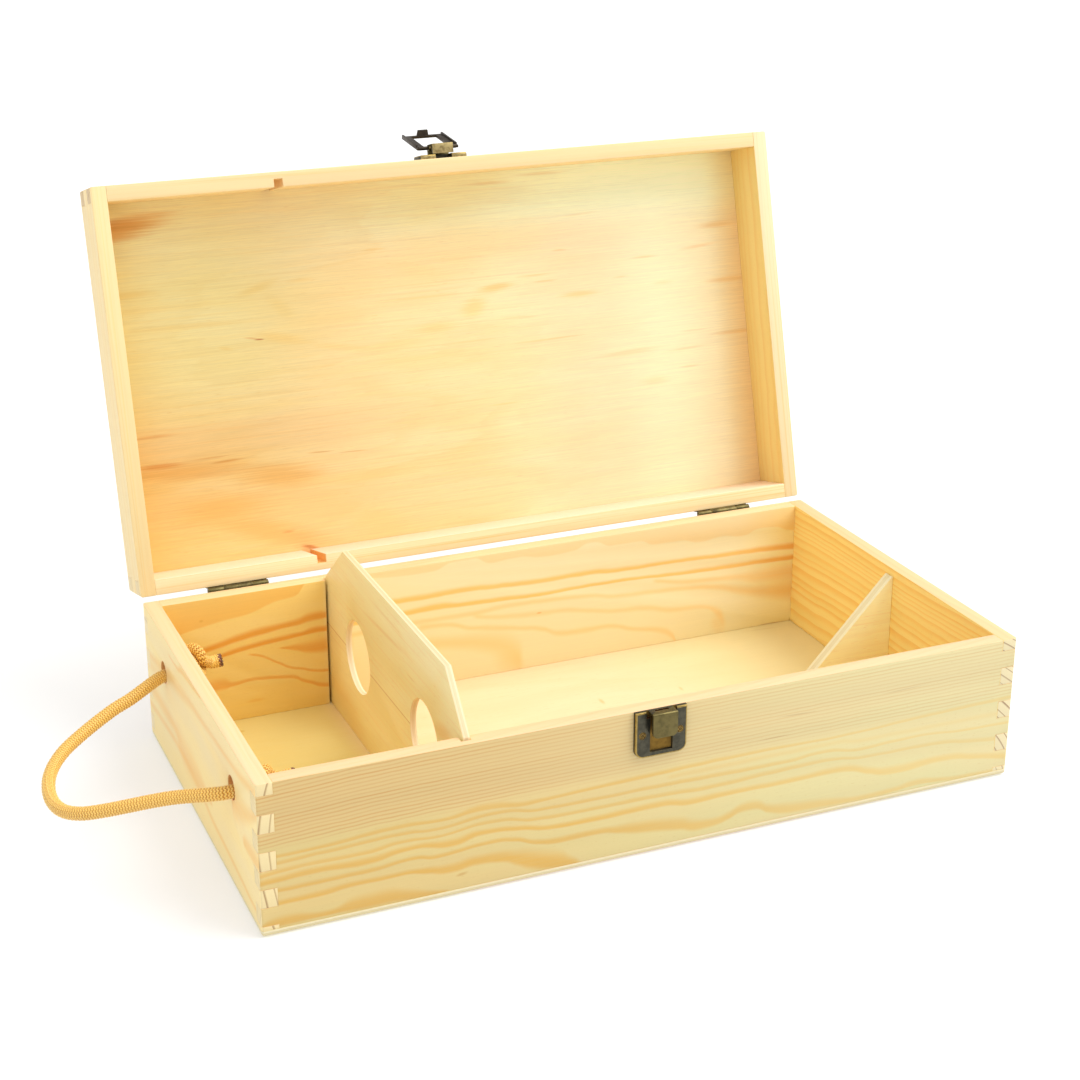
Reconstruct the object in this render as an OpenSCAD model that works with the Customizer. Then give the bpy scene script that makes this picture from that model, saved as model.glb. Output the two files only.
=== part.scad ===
// Two-bottle wooden gift box, shown with its lid open.
// Millimetres, +Z up, +X along the box, +Y towards the hinges.
// The origin is the middle of the underside of the base.

/* [Box] */
// Outside length of the box
box_l = 360; // [340:1:400]
// Outside width of the box, front to back
box_w = 196; // [180:1:220]
// Height of the base, bottom panel included
base_h = 70; // [66:1:90]
// Height of the lid, top panel included
lid_h = 30; // [27:0.5:50]
// Thickness of the four walls
wall_t = 7.5; // [7:0.1:9]
// Thickness of the plywood bottom and top panels
ply_t = 3; // [2.5:0.1:4]
// Gap between the rims when the lid is shut
seam_gap = 0.3; // [0.2:0.1:0.6]
// Angle that the lid is turned back from shut
lid_open = 105.1; // [0:0.1:115]

/* [Finger joints] */
// Height of one finger
finger_h = 8.5; // [7:0.5:10]
// Height of the lowest finger edge above the table
finger_z0 = 5; // [4.5:0.5:8]
// Height of the stub that the saw cut left at the lid rim
lid_stub = 2; // [1.5:0.5:5]

/* [Rounded edges] */
// Sanded radius of the long edges of both panels
edge_r = 2.2; // [0.5:0.1:2.4]
// Sanded radius of the upright corners
corner_r = 1.2; // [0.5:0.1:2]

/* [Neck divider] */
// Left side of the groove that the divider stands in
groove_x = -91.1; // [-100:0.1:-80]
// Width of the groove
groove_w = 4.4; // [4.2:0.1:5]
// Depth of the groove in each wall
groove_d = 4; // [3:0.1:4.5]
// Thickness of the divider
divider_t = 3; // [2.8:0.1:3.4]
// Height of the divider's top edge above the table
divider_top = 94.6; // [84:0.1:94.9]
// Where the top edge ends at the back
divider_back = 64.5; // [60:0.5:75]
// Where the top edge ends at the front
divider_front = -73; // [-76:0.5:-60]
// Radius of the two neck holes
neck_r = 18; // [15:0.5:20]
// Distance of each neck hole from the middle
neck_y = 45.6; // [40:0.1:48]
// Height of the neck holes' centres
neck_z = 47.5; // [44:0.5:50]

/* [Wedge divider] */
// Length of the wedge along the floor
wedge_l = 59.5; // [40:0.5:80]
// Height of the wedge's tip above the table
wedge_top = 66; // [50:0.5:69]
// Thickness of the wedge
wedge_t = 6; // [4:0.5:8]
// Middle of the wedge's thickness
wedge_y = -3.3; // [-8:0.1:8]

/* [Rope handle] */
// Radius of the cord
rope_r = 3; // [2:0.1:3.2]
// Radius of the cord holes in the left end
hole_r = 5.25; // [4.9:0.05:6]
// Distance of each cord hole from the middle
hole_y = 60; // [59.9:0.1:60.5]
// Height of the cord holes
hole_z = 50; // [49.8:0.1:50.4]

/* [Hinges] */
// Length of each hinge
hinge_l = 30; // [26:1:36]
// Middle of the left hinge
hinge_xl = -132.5; // [-150:0.5:-110]
// Middle of the right hinge
hinge_xr = 134; // [110:0.5:150]
// Outside radius of the knuckles
knuckle_r = 1.7; // [1.5:0.05:1.7]
// Radius of the hinge pins
pin_r = 0.8; // [0.6:0.05:0.9]
// Height of each hinge leaf
leaf_h = 11; // [9:0.5:14]

/* [Latch] */
// Middle of the latch
latch_x = -2; // [-20:0.5:20]
// Width of both latch plates
plate_w = 24.5; // [24:0.5:30]
// Height of the catch plate on the base
catch_h = 21.7; // [20:0.1:24]
// Thickness of both latch plates
plate_t = 2.2; // [2:0.1:2.4]
// Width of the hook
hook_w = 11.6; // [10:0.1:12]
// How far the hook stands out from the wall
hook_out = 6; // [5.8:0.1:6.2]
// Height of the hook's face
hook_h = 11.3; // [10:0.1:11.3]
// Angle that the hasp is turned up from hanging
hasp_up = 160; // [0:1:160]

/* [Hidden] */
$fn = 48;
e = 0.01;
hl = box_l / 2;
hw = box_w / 2;
il = hl - wall_t;
iw = hw - wall_t;
lid_z0 = base_h + seam_gap;
lid_z1 = base_h + seam_gap + lid_h;
axis_y = hw + 1.95;
axis_z = base_h - 0.4;
leaf_t = 0.7;
hasp_y = -hw - 5.9;
hasp_z = lid_z0 + 8.5;
hasp_x = latch_x - 0.4;
arm_end = base_h - 13.6;
// floor and lid edges of the fingers that belong to the long walls
base_fingers = [for (z = [finger_z0 : 2 * finger_h : base_h - finger_h]) [z, min(z + finger_h, base_h)]];
lid_fingers = [for (z = [lid_z0 + lid_stub : 2 * finger_h : lid_z1 - ply_t - 1]) [z, min(z + finger_h, lid_z1 - ply_t)]];
// the cord's route, from the back hole round to the front hole
route = [
  [-171.5, 58.2, 49.2], [-176, 58.2, 49.2], [-181, 58, 49], [-186, 55.5, 48.2], [-192, 51.5, 47],
  [-199, 48, 45], [-207, 45, 43], [-216, 41, 40], [-225, 36, 37], [-233, 30, 34.5],
  [-239, 22.5, 32.5], [-243, 14, 31], [-245, 5, 30.2], [-245.5, -4, 30], [-244.5, -13, 30.5],
  [-241.5, -21.5, 31.8], [-236, -29, 34], [-228, -35, 36.8], [-219, -40, 39.6], [-210, -44.5, 42.2],
  [-202, -49, 44.4], [-195, -53.8, 46.2], [-189, -58, 47.6], [-184, -60.4, 48.4], [-180, -61, 48.7],
  [-176, -61, 48.8], [-171.5, -61, 48.8]
];
pine = [0.93, 0.79, 0.54];
pale = [0.95, 0.86, 0.66];
brass = [0.36, 0.31, 0.19];
cord = [0.83, 0.6, 0.25];

// turns what is drawn in the shut position to the open position
module opened() {
  translate([0, axis_y, axis_z]) rotate([-lid_open, 0, 0]) translate([0, -axis_y, -axis_z]) children();
}
// an upright strip that rounds the corner at x, y
module corner_strip(x, y, z0, z1, r) {
  sx = x > 0 ? 1 : -1;
  sy = y > 0 ? 1 : -1;
  translate([x, y, z0 - 1]) linear_extrude(z1 - z0 + 2) difference() {
    translate([sx > 0 ? -r : -1, sy > 0 ? -r : -1]) square(r + 1);
    translate([-sx * r, -sy * r]) circle(r);
  }
}
module corner_strips(z0, z1) {
  for (x = [-hl, hl], y = [-hw, hw]) corner_strip(x, y, z0, z1, corner_r);
}
// strips that round the four edges of a panel whose outer face is at z, facing up or down
module rim_strips(z, up) {
  s = up ? 1 : -1;
  for (m = [0, 1]) {
    mirror([0, m, 0]) translate([-hl - 1, -hw, z]) rotate([90, 0, 90]) linear_extrude(box_l + 2) difference() {
      translate([-1, up ? -edge_r : -1]) square(edge_r + 1);
      translate([edge_r, -s * edge_r]) circle(edge_r);
    }
    mirror([m, 0, 0]) translate([-hl, hw + 1, z]) rotate([90, 0, 0]) linear_extrude(box_w + 2) difference() {
      translate([-1, up ? -edge_r : -1]) square(edge_r + 1);
      translate([edge_r, -s * edge_r]) circle(edge_r);
    }
  }
}
// a long wall along X at the front (s = -1) or back (s = 1), with its fingers at both ends
module long_wall(s, z0, z1, fingers) {
  y0 = s < 0 ? -hw : iw;
  difference() {
    union() {
      translate([-il, y0, z0]) cube([2 * il, wall_t, z1 - z0]);
      for (f = fingers) translate([-hl, y0, f[0]]) cube([box_l, wall_t, f[1] - f[0]]);
    }
    corner_strips(z0, z1);
    translate([groove_x, s < 0 ? -iw - groove_d : iw - 1, z0 - 1]) cube([groove_w, groove_d + 1, z1 - z0 + 2]);
  }
}
// a short wall along Y at the left (s = -1) or right (s = 1), which fills what the long walls' fingers leave
module short_wall(s, z0, z1, fingers) {
  x0 = s < 0 ? -hl : il;
  difference() {
    translate([x0, -hw, z0]) cube([wall_t, box_w, z1 - z0]);
    for (f = fingers, y = [-hw - 1, iw]) translate([x0 - 1, y, f[0]]) cube([wall_t + 2, wall_t + 1, f[1] - f[0]]);
    corner_strips(z0, z1);
  }
}
module bottom_panel() {
  color(pale) difference() {
    translate([-hl, -hw, 0]) cube([box_l, box_w, ply_t]);
    corner_strips(0, ply_t);
    rim_strips(0, false);
  }
}
module base_front_wall() { color(pine) long_wall(-1, ply_t, base_h, base_fingers); }
module base_back_wall() { color(pine) long_wall(1, ply_t, base_h, base_fingers); }
module base_left_end() {
  color(pine) difference() {
    short_wall(-1, ply_t, base_h, base_fingers);
    for (y = [-hole_y, hole_y]) translate([-hl - 1, y, hole_z]) rotate([0, 90, 0]) cylinder(h = wall_t + 2, r = hole_r);
  }
}
module base_right_end() { color(pine) short_wall(1, ply_t, base_h, base_fingers); }
// the three-cornered board that parts the two bottles' feet
module wedge_divider() {
  color(pale) translate([0, wedge_y + wedge_t / 2, 0]) rotate([90, 0, 0]) linear_extrude(wedge_t)
    polygon([[il, ply_t], [il, wedge_top], [il - 1, wedge_top], [il - wedge_l, ply_t + 0.8], [il - wedge_l, ply_t]]);
}
// the loose board that the bottles' necks go through
module neck_divider() {
  x0 = groove_x + groove_w - 0.3 - divider_t;
  ye = iw + groove_d - 0.6;
  color(pale) difference() {
    translate([x0, 0, 0]) rotate([90, 0, 90]) linear_extrude(divider_t)
      polygon([[-ye, ply_t + 0.15], [ye, ply_t + 0.15], [ye, base_h + 0.8], [divider_back, divider_top], [divider_front, divider_top], [-ye, base_h + 0.8]]);
    for (y = [-neck_y, neck_y]) translate([x0 - 1, y, neck_z]) rotate([0, 90, 0]) cylinder(h = divider_t + 2, r = neck_r, $fn = 96);
  }
}
module lid_front_wall() { color(pine) opened() long_wall(-1, lid_z0, lid_z1 - ply_t, lid_fingers); }
module lid_back_wall() { color(pine) opened() long_wall(1, lid_z0, lid_z1 - ply_t, lid_fingers); }
module lid_left_end() { color(pine) opened() short_wall(-1, lid_z0, lid_z1 - ply_t, lid_fingers); }
module lid_right_end() { color(pine) opened() short_wall(1, lid_z0, lid_z1 - ply_t, lid_fingers); }
module lid_panel() {
  color(pale) opened() difference() {
    translate([-hl, -hw, lid_z1 - ply_t]) cube([box_l, box_w, ply_t]);
    corner_strips(lid_z1 - ply_t, lid_z1);
    rim_strips(lid_z1, true);
  }
}

// one hinge knuckle along X from x, of length l, with a bore of radius b
module knuckle(x, l, b) {
  translate([x, axis_y, axis_z]) rotate([0, 90, 0]) difference() {
    cylinder(h = l, r = knuckle_r);
    translate([0, 0, -1]) cylinder(h = l + 2, r = b);
  }
}
// a flat leaf against the back, with rounded free corners and two screw holes; s is 1 above the pin, -1 below it
module leaf(x0, s) {
  r = 1.6;
  near = knuckle_r + 0.35;
  translate([x0, hw, axis_z]) mirror([0, 0, s < 0 ? 1 : 0]) difference() {
    translate([0, leaf_t, 0]) rotate([90, 0, 0]) linear_extrude(leaf_t) union() {
      translate([0, near]) square([hinge_l, leaf_h - r - near]);
      translate([r, near]) square([hinge_l - 2 * r, leaf_h - near]);
      translate([r, leaf_h - r]) circle(r);
      translate([hinge_l - r, leaf_h - r]) circle(r);
    }
    for (x = [5.5, hinge_l - 5.5]) translate([x, leaf_t + 1, 7.6]) rotate([90, 0, 0]) cylinder(h = leaf_t + 2, r = 0.85);
  }
}
// the strip that carries a leaf to its knuckle, clear of the rim across the seam
module leaf_neck(x, l, s) {
  z0 = s > 0 ? base_h + 0.15 : axis_z - knuckle_r - 0.5;
  z1 = s > 0 ? axis_z + knuckle_r + 0.5 : axis_z;
  difference() {
    translate([x, hw, z0]) cube([l, leaf_t, z1 - z0]);
    translate([x - 1, axis_y, axis_z]) rotate([0, 90, 0]) cylinder(h = l + 2, r = knuckle_r - 0.3);
  }
}
module base_leaf(xc) {
  x0 = xc - hinge_l / 2;
  color(brass) union() {
    leaf(x0, -1);
    for (x = [x0, x0 + 0.75 * hinge_l]) {
      knuckle(x, 0.25 * hinge_l, pin_r);
      leaf_neck(x, 0.25 * hinge_l, -1);
    }
  }
}
module lid_leaf(xc) {
  x0 = xc - hinge_l / 2;
  color(brass) opened() union() {
    leaf(x0, 1);
    knuckle(x0 + 0.25 * hinge_l + 0.15, 0.5 * hinge_l - 0.3, pin_r + 0.05);
    leaf_neck(x0 + 0.25 * hinge_l + 0.15, 0.5 * hinge_l - 0.3, 1);
  }
}
module hinge_pin(xc) {
  color(brass) translate([xc - hinge_l / 2 - 0.25, axis_y, axis_z]) rotate([0, 90, 0]) cylinder(h = hinge_l + 0.5, r = pin_r);
}
module hinge_left_base_leaf() { base_leaf(hinge_xl); }
module hinge_left_lid_leaf() { lid_leaf(hinge_xl); }
module hinge_left_pin() { hinge_pin(hinge_xl); }
module hinge_right_base_leaf() { base_leaf(hinge_xr); }
module hinge_right_lid_leaf() { lid_leaf(hinge_xr); }
module hinge_right_pin() { hinge_pin(hinge_xr); }
// a small round-headed screw that points along -Y, its head's underside at y = 0
module back_screw() {
  rotate([90, 0, 0]) cylinder(h = 6, r = 0.75);
  rotate([-90, 0, 0]) difference() {
    cylinder(h = 0.7, r1 = 1.6, r2 = 1.15);
    translate([-0.2, -1, 0.4]) cube([0.4, 2, 1]);
    translate([-1, -0.2, 0.4]) cube([2, 0.4, 1]);
  }
}
module hinge_base_screws() {
  color(brass) for (xc = [hinge_xl, hinge_xr], x = [5.5, hinge_l - 5.5])
    translate([xc - hinge_l / 2 + x, hw + leaf_t, axis_z - 7.6]) back_screw();
}
module hinge_lid_screws() {
  color(brass) opened() for (xc = [hinge_xl, hinge_xr], x = [5.5, hinge_l - 5.5])
    translate([xc - hinge_l / 2 + x, hw + leaf_t, axis_z + 7.6]) back_screw();
}

// a plate against the front wall, from z0 up, its lower or upper corners rounded by r; w by h by plate_t
module front_plate(z0, h, r, round_top) {
  z = round_top ? z0 : z0 + r;
  translate([latch_x, -hw, 0]) rotate([90, 0, 0]) linear_extrude(plate_t) union() {
    translate([-plate_w / 2, z]) square([plate_w, h - r]);
    translate([-plate_w / 2 + r, z0]) square([plate_w - 2 * r, h]);
    for (x = [-plate_w / 2 + r, plate_w / 2 - r]) translate([x, round_top ? z0 + h - r : z0 + r]) circle(r);
  }
}
// the catch: a plate with a pocket, and the hook that folds over from its top edge
module latch_catch() {
  top = base_h - 0.1;
  hx = latch_x - hook_w / 2;
  r = 2.6;
  color(brass) union() {
    difference() {
      front_plate(top - catch_h, catch_h, 4, false);
      translate([hx - 1.4, -hw - plate_t - 1, top - 3]) cube([hook_w + 2.8, plate_t + 0.3, 4]);
      translate([hx + 0.4, -hw - plate_t - 1, top - catch_h + 2.4]) cube([hook_w - 0.8, plate_t + 0.3, catch_h]);
      for (x = [-8.9, 8.9]) translate([latch_x + x, -hw - plate_t, top - 10.9]) rotate([-90, 0, 0]) {
        translate([0, 0, -e]) cylinder(h = 1.1, r1 = 1.85, r2 = 0.8);
        cylinder(h = plate_t + 1, r = 0.8);
      }
    }
    difference() {
      translate([hx, -hw - hook_out, top - 1.2]) cube([hook_w, hook_out, 1.2]);
      translate([latch_x - 3.2, -hw - 2.6, top - 2]) cube([6.4, 1.3, 3]);
      translate([hx - 1, -hw - hook_out, top]) rotate([90, 0, 90]) linear_extrude(hook_w + 2) difference() {
        translate([-1, -1]) square(2);
        translate([1, -1]) circle(1);
      }
    }
    difference() {
      translate([latch_x, -hw - hook_out + 1.2, top - hook_h]) rotate([90, 0, 0]) linear_extrude(1.2) union() {
        translate([-hook_w / 2, r]) square([hook_w, hook_h - r - 1.1]);
        translate([-hook_w / 2 + r, 0]) square([hook_w - 2 * r, hook_h - 1.1]);
        for (x = [-hook_w / 2 + r, hook_w / 2 - r]) translate([x, r]) circle(r);
      }
    }
  }
}
// a flat-headed screw that points along +Y, its face at y = 0
module front_screw() {
  rotate([-90, 0, 0]) difference() {
    union() {
      cylinder(h = 1, r1 = 1.7, r2 = 0.75);
      cylinder(h = 6.5, r = 0.75);
    }
    translate([-0.25, -1.05, -1]) cube([0.5, 2.1, 1.5]);
    translate([-1.05, -0.25, -1]) cube([2.1, 0.5, 1.5]);
  }
}
module latch_catch_screws() {
  color(brass) for (x = [-8.9, 8.9]) translate([latch_x + x, -hw - plate_t + 0.1, base_h - 11]) front_screw();
}
// the lid's plate, with the strap that wraps over the hasp's bar
module latch_lid_plate() {
  z0 = lid_z0 + 1.6;
  sw = 11;
  color(brass) opened() difference() {
    union() {
      difference() {
        front_plate(z0, 13.4, 3.6, true);
        translate([latch_x - 4.2, -hw - plate_t - 1, z0 - 1]) cube([8.6, plate_t + 2, 7]);
      }
      translate([latch_x - sw / 2, -hw - 7.5, z0]) cube([sw, 4.95, 1.1]);
      translate([latch_x - sw / 2, -hw - 7.5, z0]) cube([sw, 1.1, hasp_z - z0]);
      translate([latch_x - sw / 2, -hw - 7.5, hasp_z - 2.4]) cube([sw, 2, 2.4]);
      translate([latch_x - sw / 2, hasp_y, hasp_z]) rotate([0, 90, 0]) cylinder(h = sw, r = 1.6);
      translate([latch_x - sw / 2, hasp_y, hasp_z + 0.4]) cube([sw, -hw - hasp_y - 1, 1.2]);
    }
    translate([latch_x - sw, hasp_y, hasp_z]) rotate([0, 90, 0]) cylinder(h = 2 * sw, r = 1.0);
    for (x = [-8.9, 8.9]) translate([latch_x + x, -hw - plate_t, z0 + 6.4]) rotate([-90, 0, 0]) {
      translate([0, 0, -e]) cylinder(h = 1.1, r1 = 1.85, r2 = 0.8);
      cylinder(h = plate_t + 1, r = 0.8);
    }
  }
}
module latch_lid_screws() {
  color(brass) opened() for (x = [-8.9, 8.9])
    translate([latch_x + x, -hw - plate_t + 0.1, lid_z0 + 8]) front_screw();
}
// the hasp: a flat frame on a round bar, drawn hanging and then turned up about the bar
module latch_hasp() {
  t = 1.2;
  inner = 6.8;
  outer = 11;
  len = hasp_z - arm_end;
  color(brass) opened() translate([hasp_x, hasp_y, hasp_z]) rotate([-hasp_up, 0, 0]) union() {
    translate([-outer + 1, 0, 0]) rotate([0, 90, 0]) cylinder(h = 2 * outer - 2, r = 0.95);
    for (m = [0, 1]) mirror([m, 0, 0]) {
      translate([inner, -t / 2, -len]) cube([outer - inner, t, len + 0.9]);
      translate([outer - 0.9, 0, -len]) cube([0.9, 1.5, len - 1.2]);
    }
    translate([-outer, -t / 2, -len]) cube([2 * outer, t, 1.9]);
    translate([0, 0, -len]) linear_extrude(1.1) polygon([[-3.2, 0], [-2.6, 3.4], [2.6, 3.4], [3.2, 0]]);
  }
}

// a tube of radius r along the points p, with n sides
function unit(v) = v / norm(v);
function along(p, i) = unit(p[min(i + 1, len(p) - 1)] - p[max(i - 1, 0)]);
function ring(p, i, r, n) = let (t = along(p, i), u = unit(cross([0, 0, 1], t)), w = cross(t, u))
  [for (k = [0 : n - 1]) p[i] + r * cos(360 * k / n) * u + r * sin(360 * k / n) * w];
module tube(p, r, n) {
  m = len(p);
  polyhedron(
    points = [for (i = [0 : m - 1]) each ring(p, i, r, n)],
    faces = concat(
      [[for (k = [0 : n - 1]) k]],
      [for (i = [0 : m - 2], k = [0 : n - 1]) each
        [[i * n + k, (i + 1) * n + k, i * n + (k + 1) % n], [i * n + (k + 1) % n, (i + 1) * n + k, (i + 1) * n + (k + 1) % n]]],
      [[for (k = [n - 1 : -1 : 0]) (m - 1) * n + k]]));
}
module rope_handle() { color(cord) tube(route, rope_r, 12); }
// the knots that keep the cord's ends inside, each with its short tail
module knot(y, z, tail_z) {
  color(cord) union() {
    translate([-il + 8.6, y, z]) sphere(r = 8.6);
    translate([-il + 9, y, tail_z]) rotate([0, 90, 0]) cylinder(h = 13, r = rope_r);
  }
}
module rope_knot_back() { knot(58, 54.5, 52); }
module rope_knot_front() { knot(-61, 52, 52.5); }

bottom_panel();
base_front_wall();
base_back_wall();
base_left_end();
base_right_end();
wedge_divider();
neck_divider();
lid_front_wall();
lid_back_wall();
lid_left_end();
lid_right_end();
lid_panel();
hinge_left_base_leaf();
hinge_left_lid_leaf();
hinge_left_pin();
hinge_right_base_leaf();
hinge_right_lid_leaf();
hinge_right_pin();
hinge_base_screws();
hinge_lid_screws();
latch_catch();
latch_catch_screws();
latch_lid_plate();
latch_lid_screws();
latch_hasp();
rope_handle();
rope_knot_back();
rope_knot_front();
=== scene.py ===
import math
import bpy
import bmesh
import numpy as np
from mathutils import Matrix, Vector


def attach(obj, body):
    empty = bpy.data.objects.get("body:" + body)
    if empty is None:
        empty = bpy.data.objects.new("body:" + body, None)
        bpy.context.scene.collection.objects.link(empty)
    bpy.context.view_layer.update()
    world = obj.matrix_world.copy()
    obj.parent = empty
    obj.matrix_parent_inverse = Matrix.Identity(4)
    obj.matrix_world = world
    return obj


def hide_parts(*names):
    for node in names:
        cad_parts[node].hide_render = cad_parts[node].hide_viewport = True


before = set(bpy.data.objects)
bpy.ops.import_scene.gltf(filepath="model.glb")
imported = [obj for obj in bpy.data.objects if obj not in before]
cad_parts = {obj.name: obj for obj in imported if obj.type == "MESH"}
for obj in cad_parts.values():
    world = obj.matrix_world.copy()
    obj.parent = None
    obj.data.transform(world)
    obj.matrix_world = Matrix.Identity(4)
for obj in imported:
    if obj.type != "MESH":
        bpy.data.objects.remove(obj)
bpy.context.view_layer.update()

MM = 0.001
HL, HW, WALL, PLY, BASE_H = 180.0, 98.0, 7.5, 3.0, 70.0
AXIS_Y, AXIS_Z, LID_OPEN = 99.95, 69.6, 105.1
LID_Z0, LID_Z1 = 70.3, 100.3
LATCH_X, HASP_X, HASP_Y, HASP_Z, HASP_UP = -2.0, -2.4, -103.9, 78.8, 160.0

scene = bpy.context.scene


# ---------------------------------------------------------------- camera

def make_camera():
    yaw, pitch, roll = math.radians(22.21597), math.radians(20.26114), math.radians(-0.28549)
    fw = Vector((math.sin(yaw) * math.cos(pitch), math.cos(yaw) * math.cos(pitch), -math.sin(pitch)))
    rt = Vector((math.cos(yaw), -math.sin(yaw), 0))
    up = rt.cross(fw)
    r = rt * math.cos(roll) + up * math.sin(roll)
    u = -rt * math.sin(roll) + up * math.cos(roll)
    data = bpy.data.cameras.new("camera")
    data.sensor_width = 36
    data.lens = 2022.087 / 1080 * 36
    data.shift_x = 34.135 / 1080
    data.shift_y = -50.632 / 1080
    data.clip_start = 0.02
    data.clip_end = 400
    cam = bpy.data.objects.new("camera", data)
    m = Matrix((r, u, -fw)).transposed().to_4x4()
    m.translation = Vector((-354.942, -790.258, 454.873)) * MM
    cam.matrix_world = m
    scene.collection.objects.link(cam)
    scene.camera = cam


make_camera()


# ---------------------------------------------------------------- shapes

def opened(p):
    """A point of the shut lid, in mm, where the open lid has it."""
    a = math.radians(-LID_OPEN)
    y, z = p[1] - AXIS_Y, p[2] - AXIS_Z
    return Vector((p[0], AXIS_Y + y * math.cos(a) - z * math.sin(a), AXIS_Z + y * math.sin(a) + z * math.cos(a)))


def link(ob):
    scene.collection.objects.link(ob)
    return ob


def finish_mesh(ob, angle=35):
    me = ob.data
    for p in me.polygons:
        p.use_smooth = True
    me.set_sharp_from_angle(angle=math.radians(angle))
    return ob


def apply_mods(ob):
    dg = bpy.context.evaluated_depsgraph_get()
    me = bpy.data.meshes.new_from_object(ob.evaluated_get(dg))
    ob.modifiers.clear()
    ob.data = me
    return ob


def soft_copy(node, name, mats, bevel, segments=2, angle=28, body=None, worn=None, seams=None):
    """A copy of a CAD node with its corners sanded off, which stands for the node."""
    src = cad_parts[node]
    me = src.data.copy()
    me.materials.clear()
    bm = bmesh.new()
    bm.from_mesh(me)
    bmesh.ops.remove_doubles(bm, verts=bm.verts, dist=2e-6)
    bmesh.ops.dissolve_limit(bm, angle_limit=math.radians(0.6), verts=bm.verts, edges=bm.edges)
    bm.to_mesh(me)
    bm.free()
    for m in mats:
        me.materials.append(m)
    ob = link(bpy.data.objects.new(name, me))
    for a in list(me.attributes):
        if a.name in ("custom_normal",):
            me.attributes.remove(a)
    mod = ob.modifiers.new("sanded", "BEVEL")
    mod.width = bevel * MM
    mod.segments = segments
    mod.limit_method = "ANGLE"
    mod.angle_limit = math.radians(angle)
    mod.miter_outer = "MITER_SHARP"
    mod.use_clamp_overlap = True
    if worn is not None:
        mod.material = worn
    apply_mods(ob)
    finish_mesh(ob, 50)
    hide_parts(node)
    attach(ob, body)
    return ob


# ---------------------------------------------------------------- materials

def lin(c):
    """An sRGB colour, 0 to 255, as linear RGBA."""
    out = [((x / 255) / 12.92 if x / 255 <= 0.04045 else ((x / 255 + 0.055) / 1.055) ** 2.4) for x in c]
    return (*out, 1.0)


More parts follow.
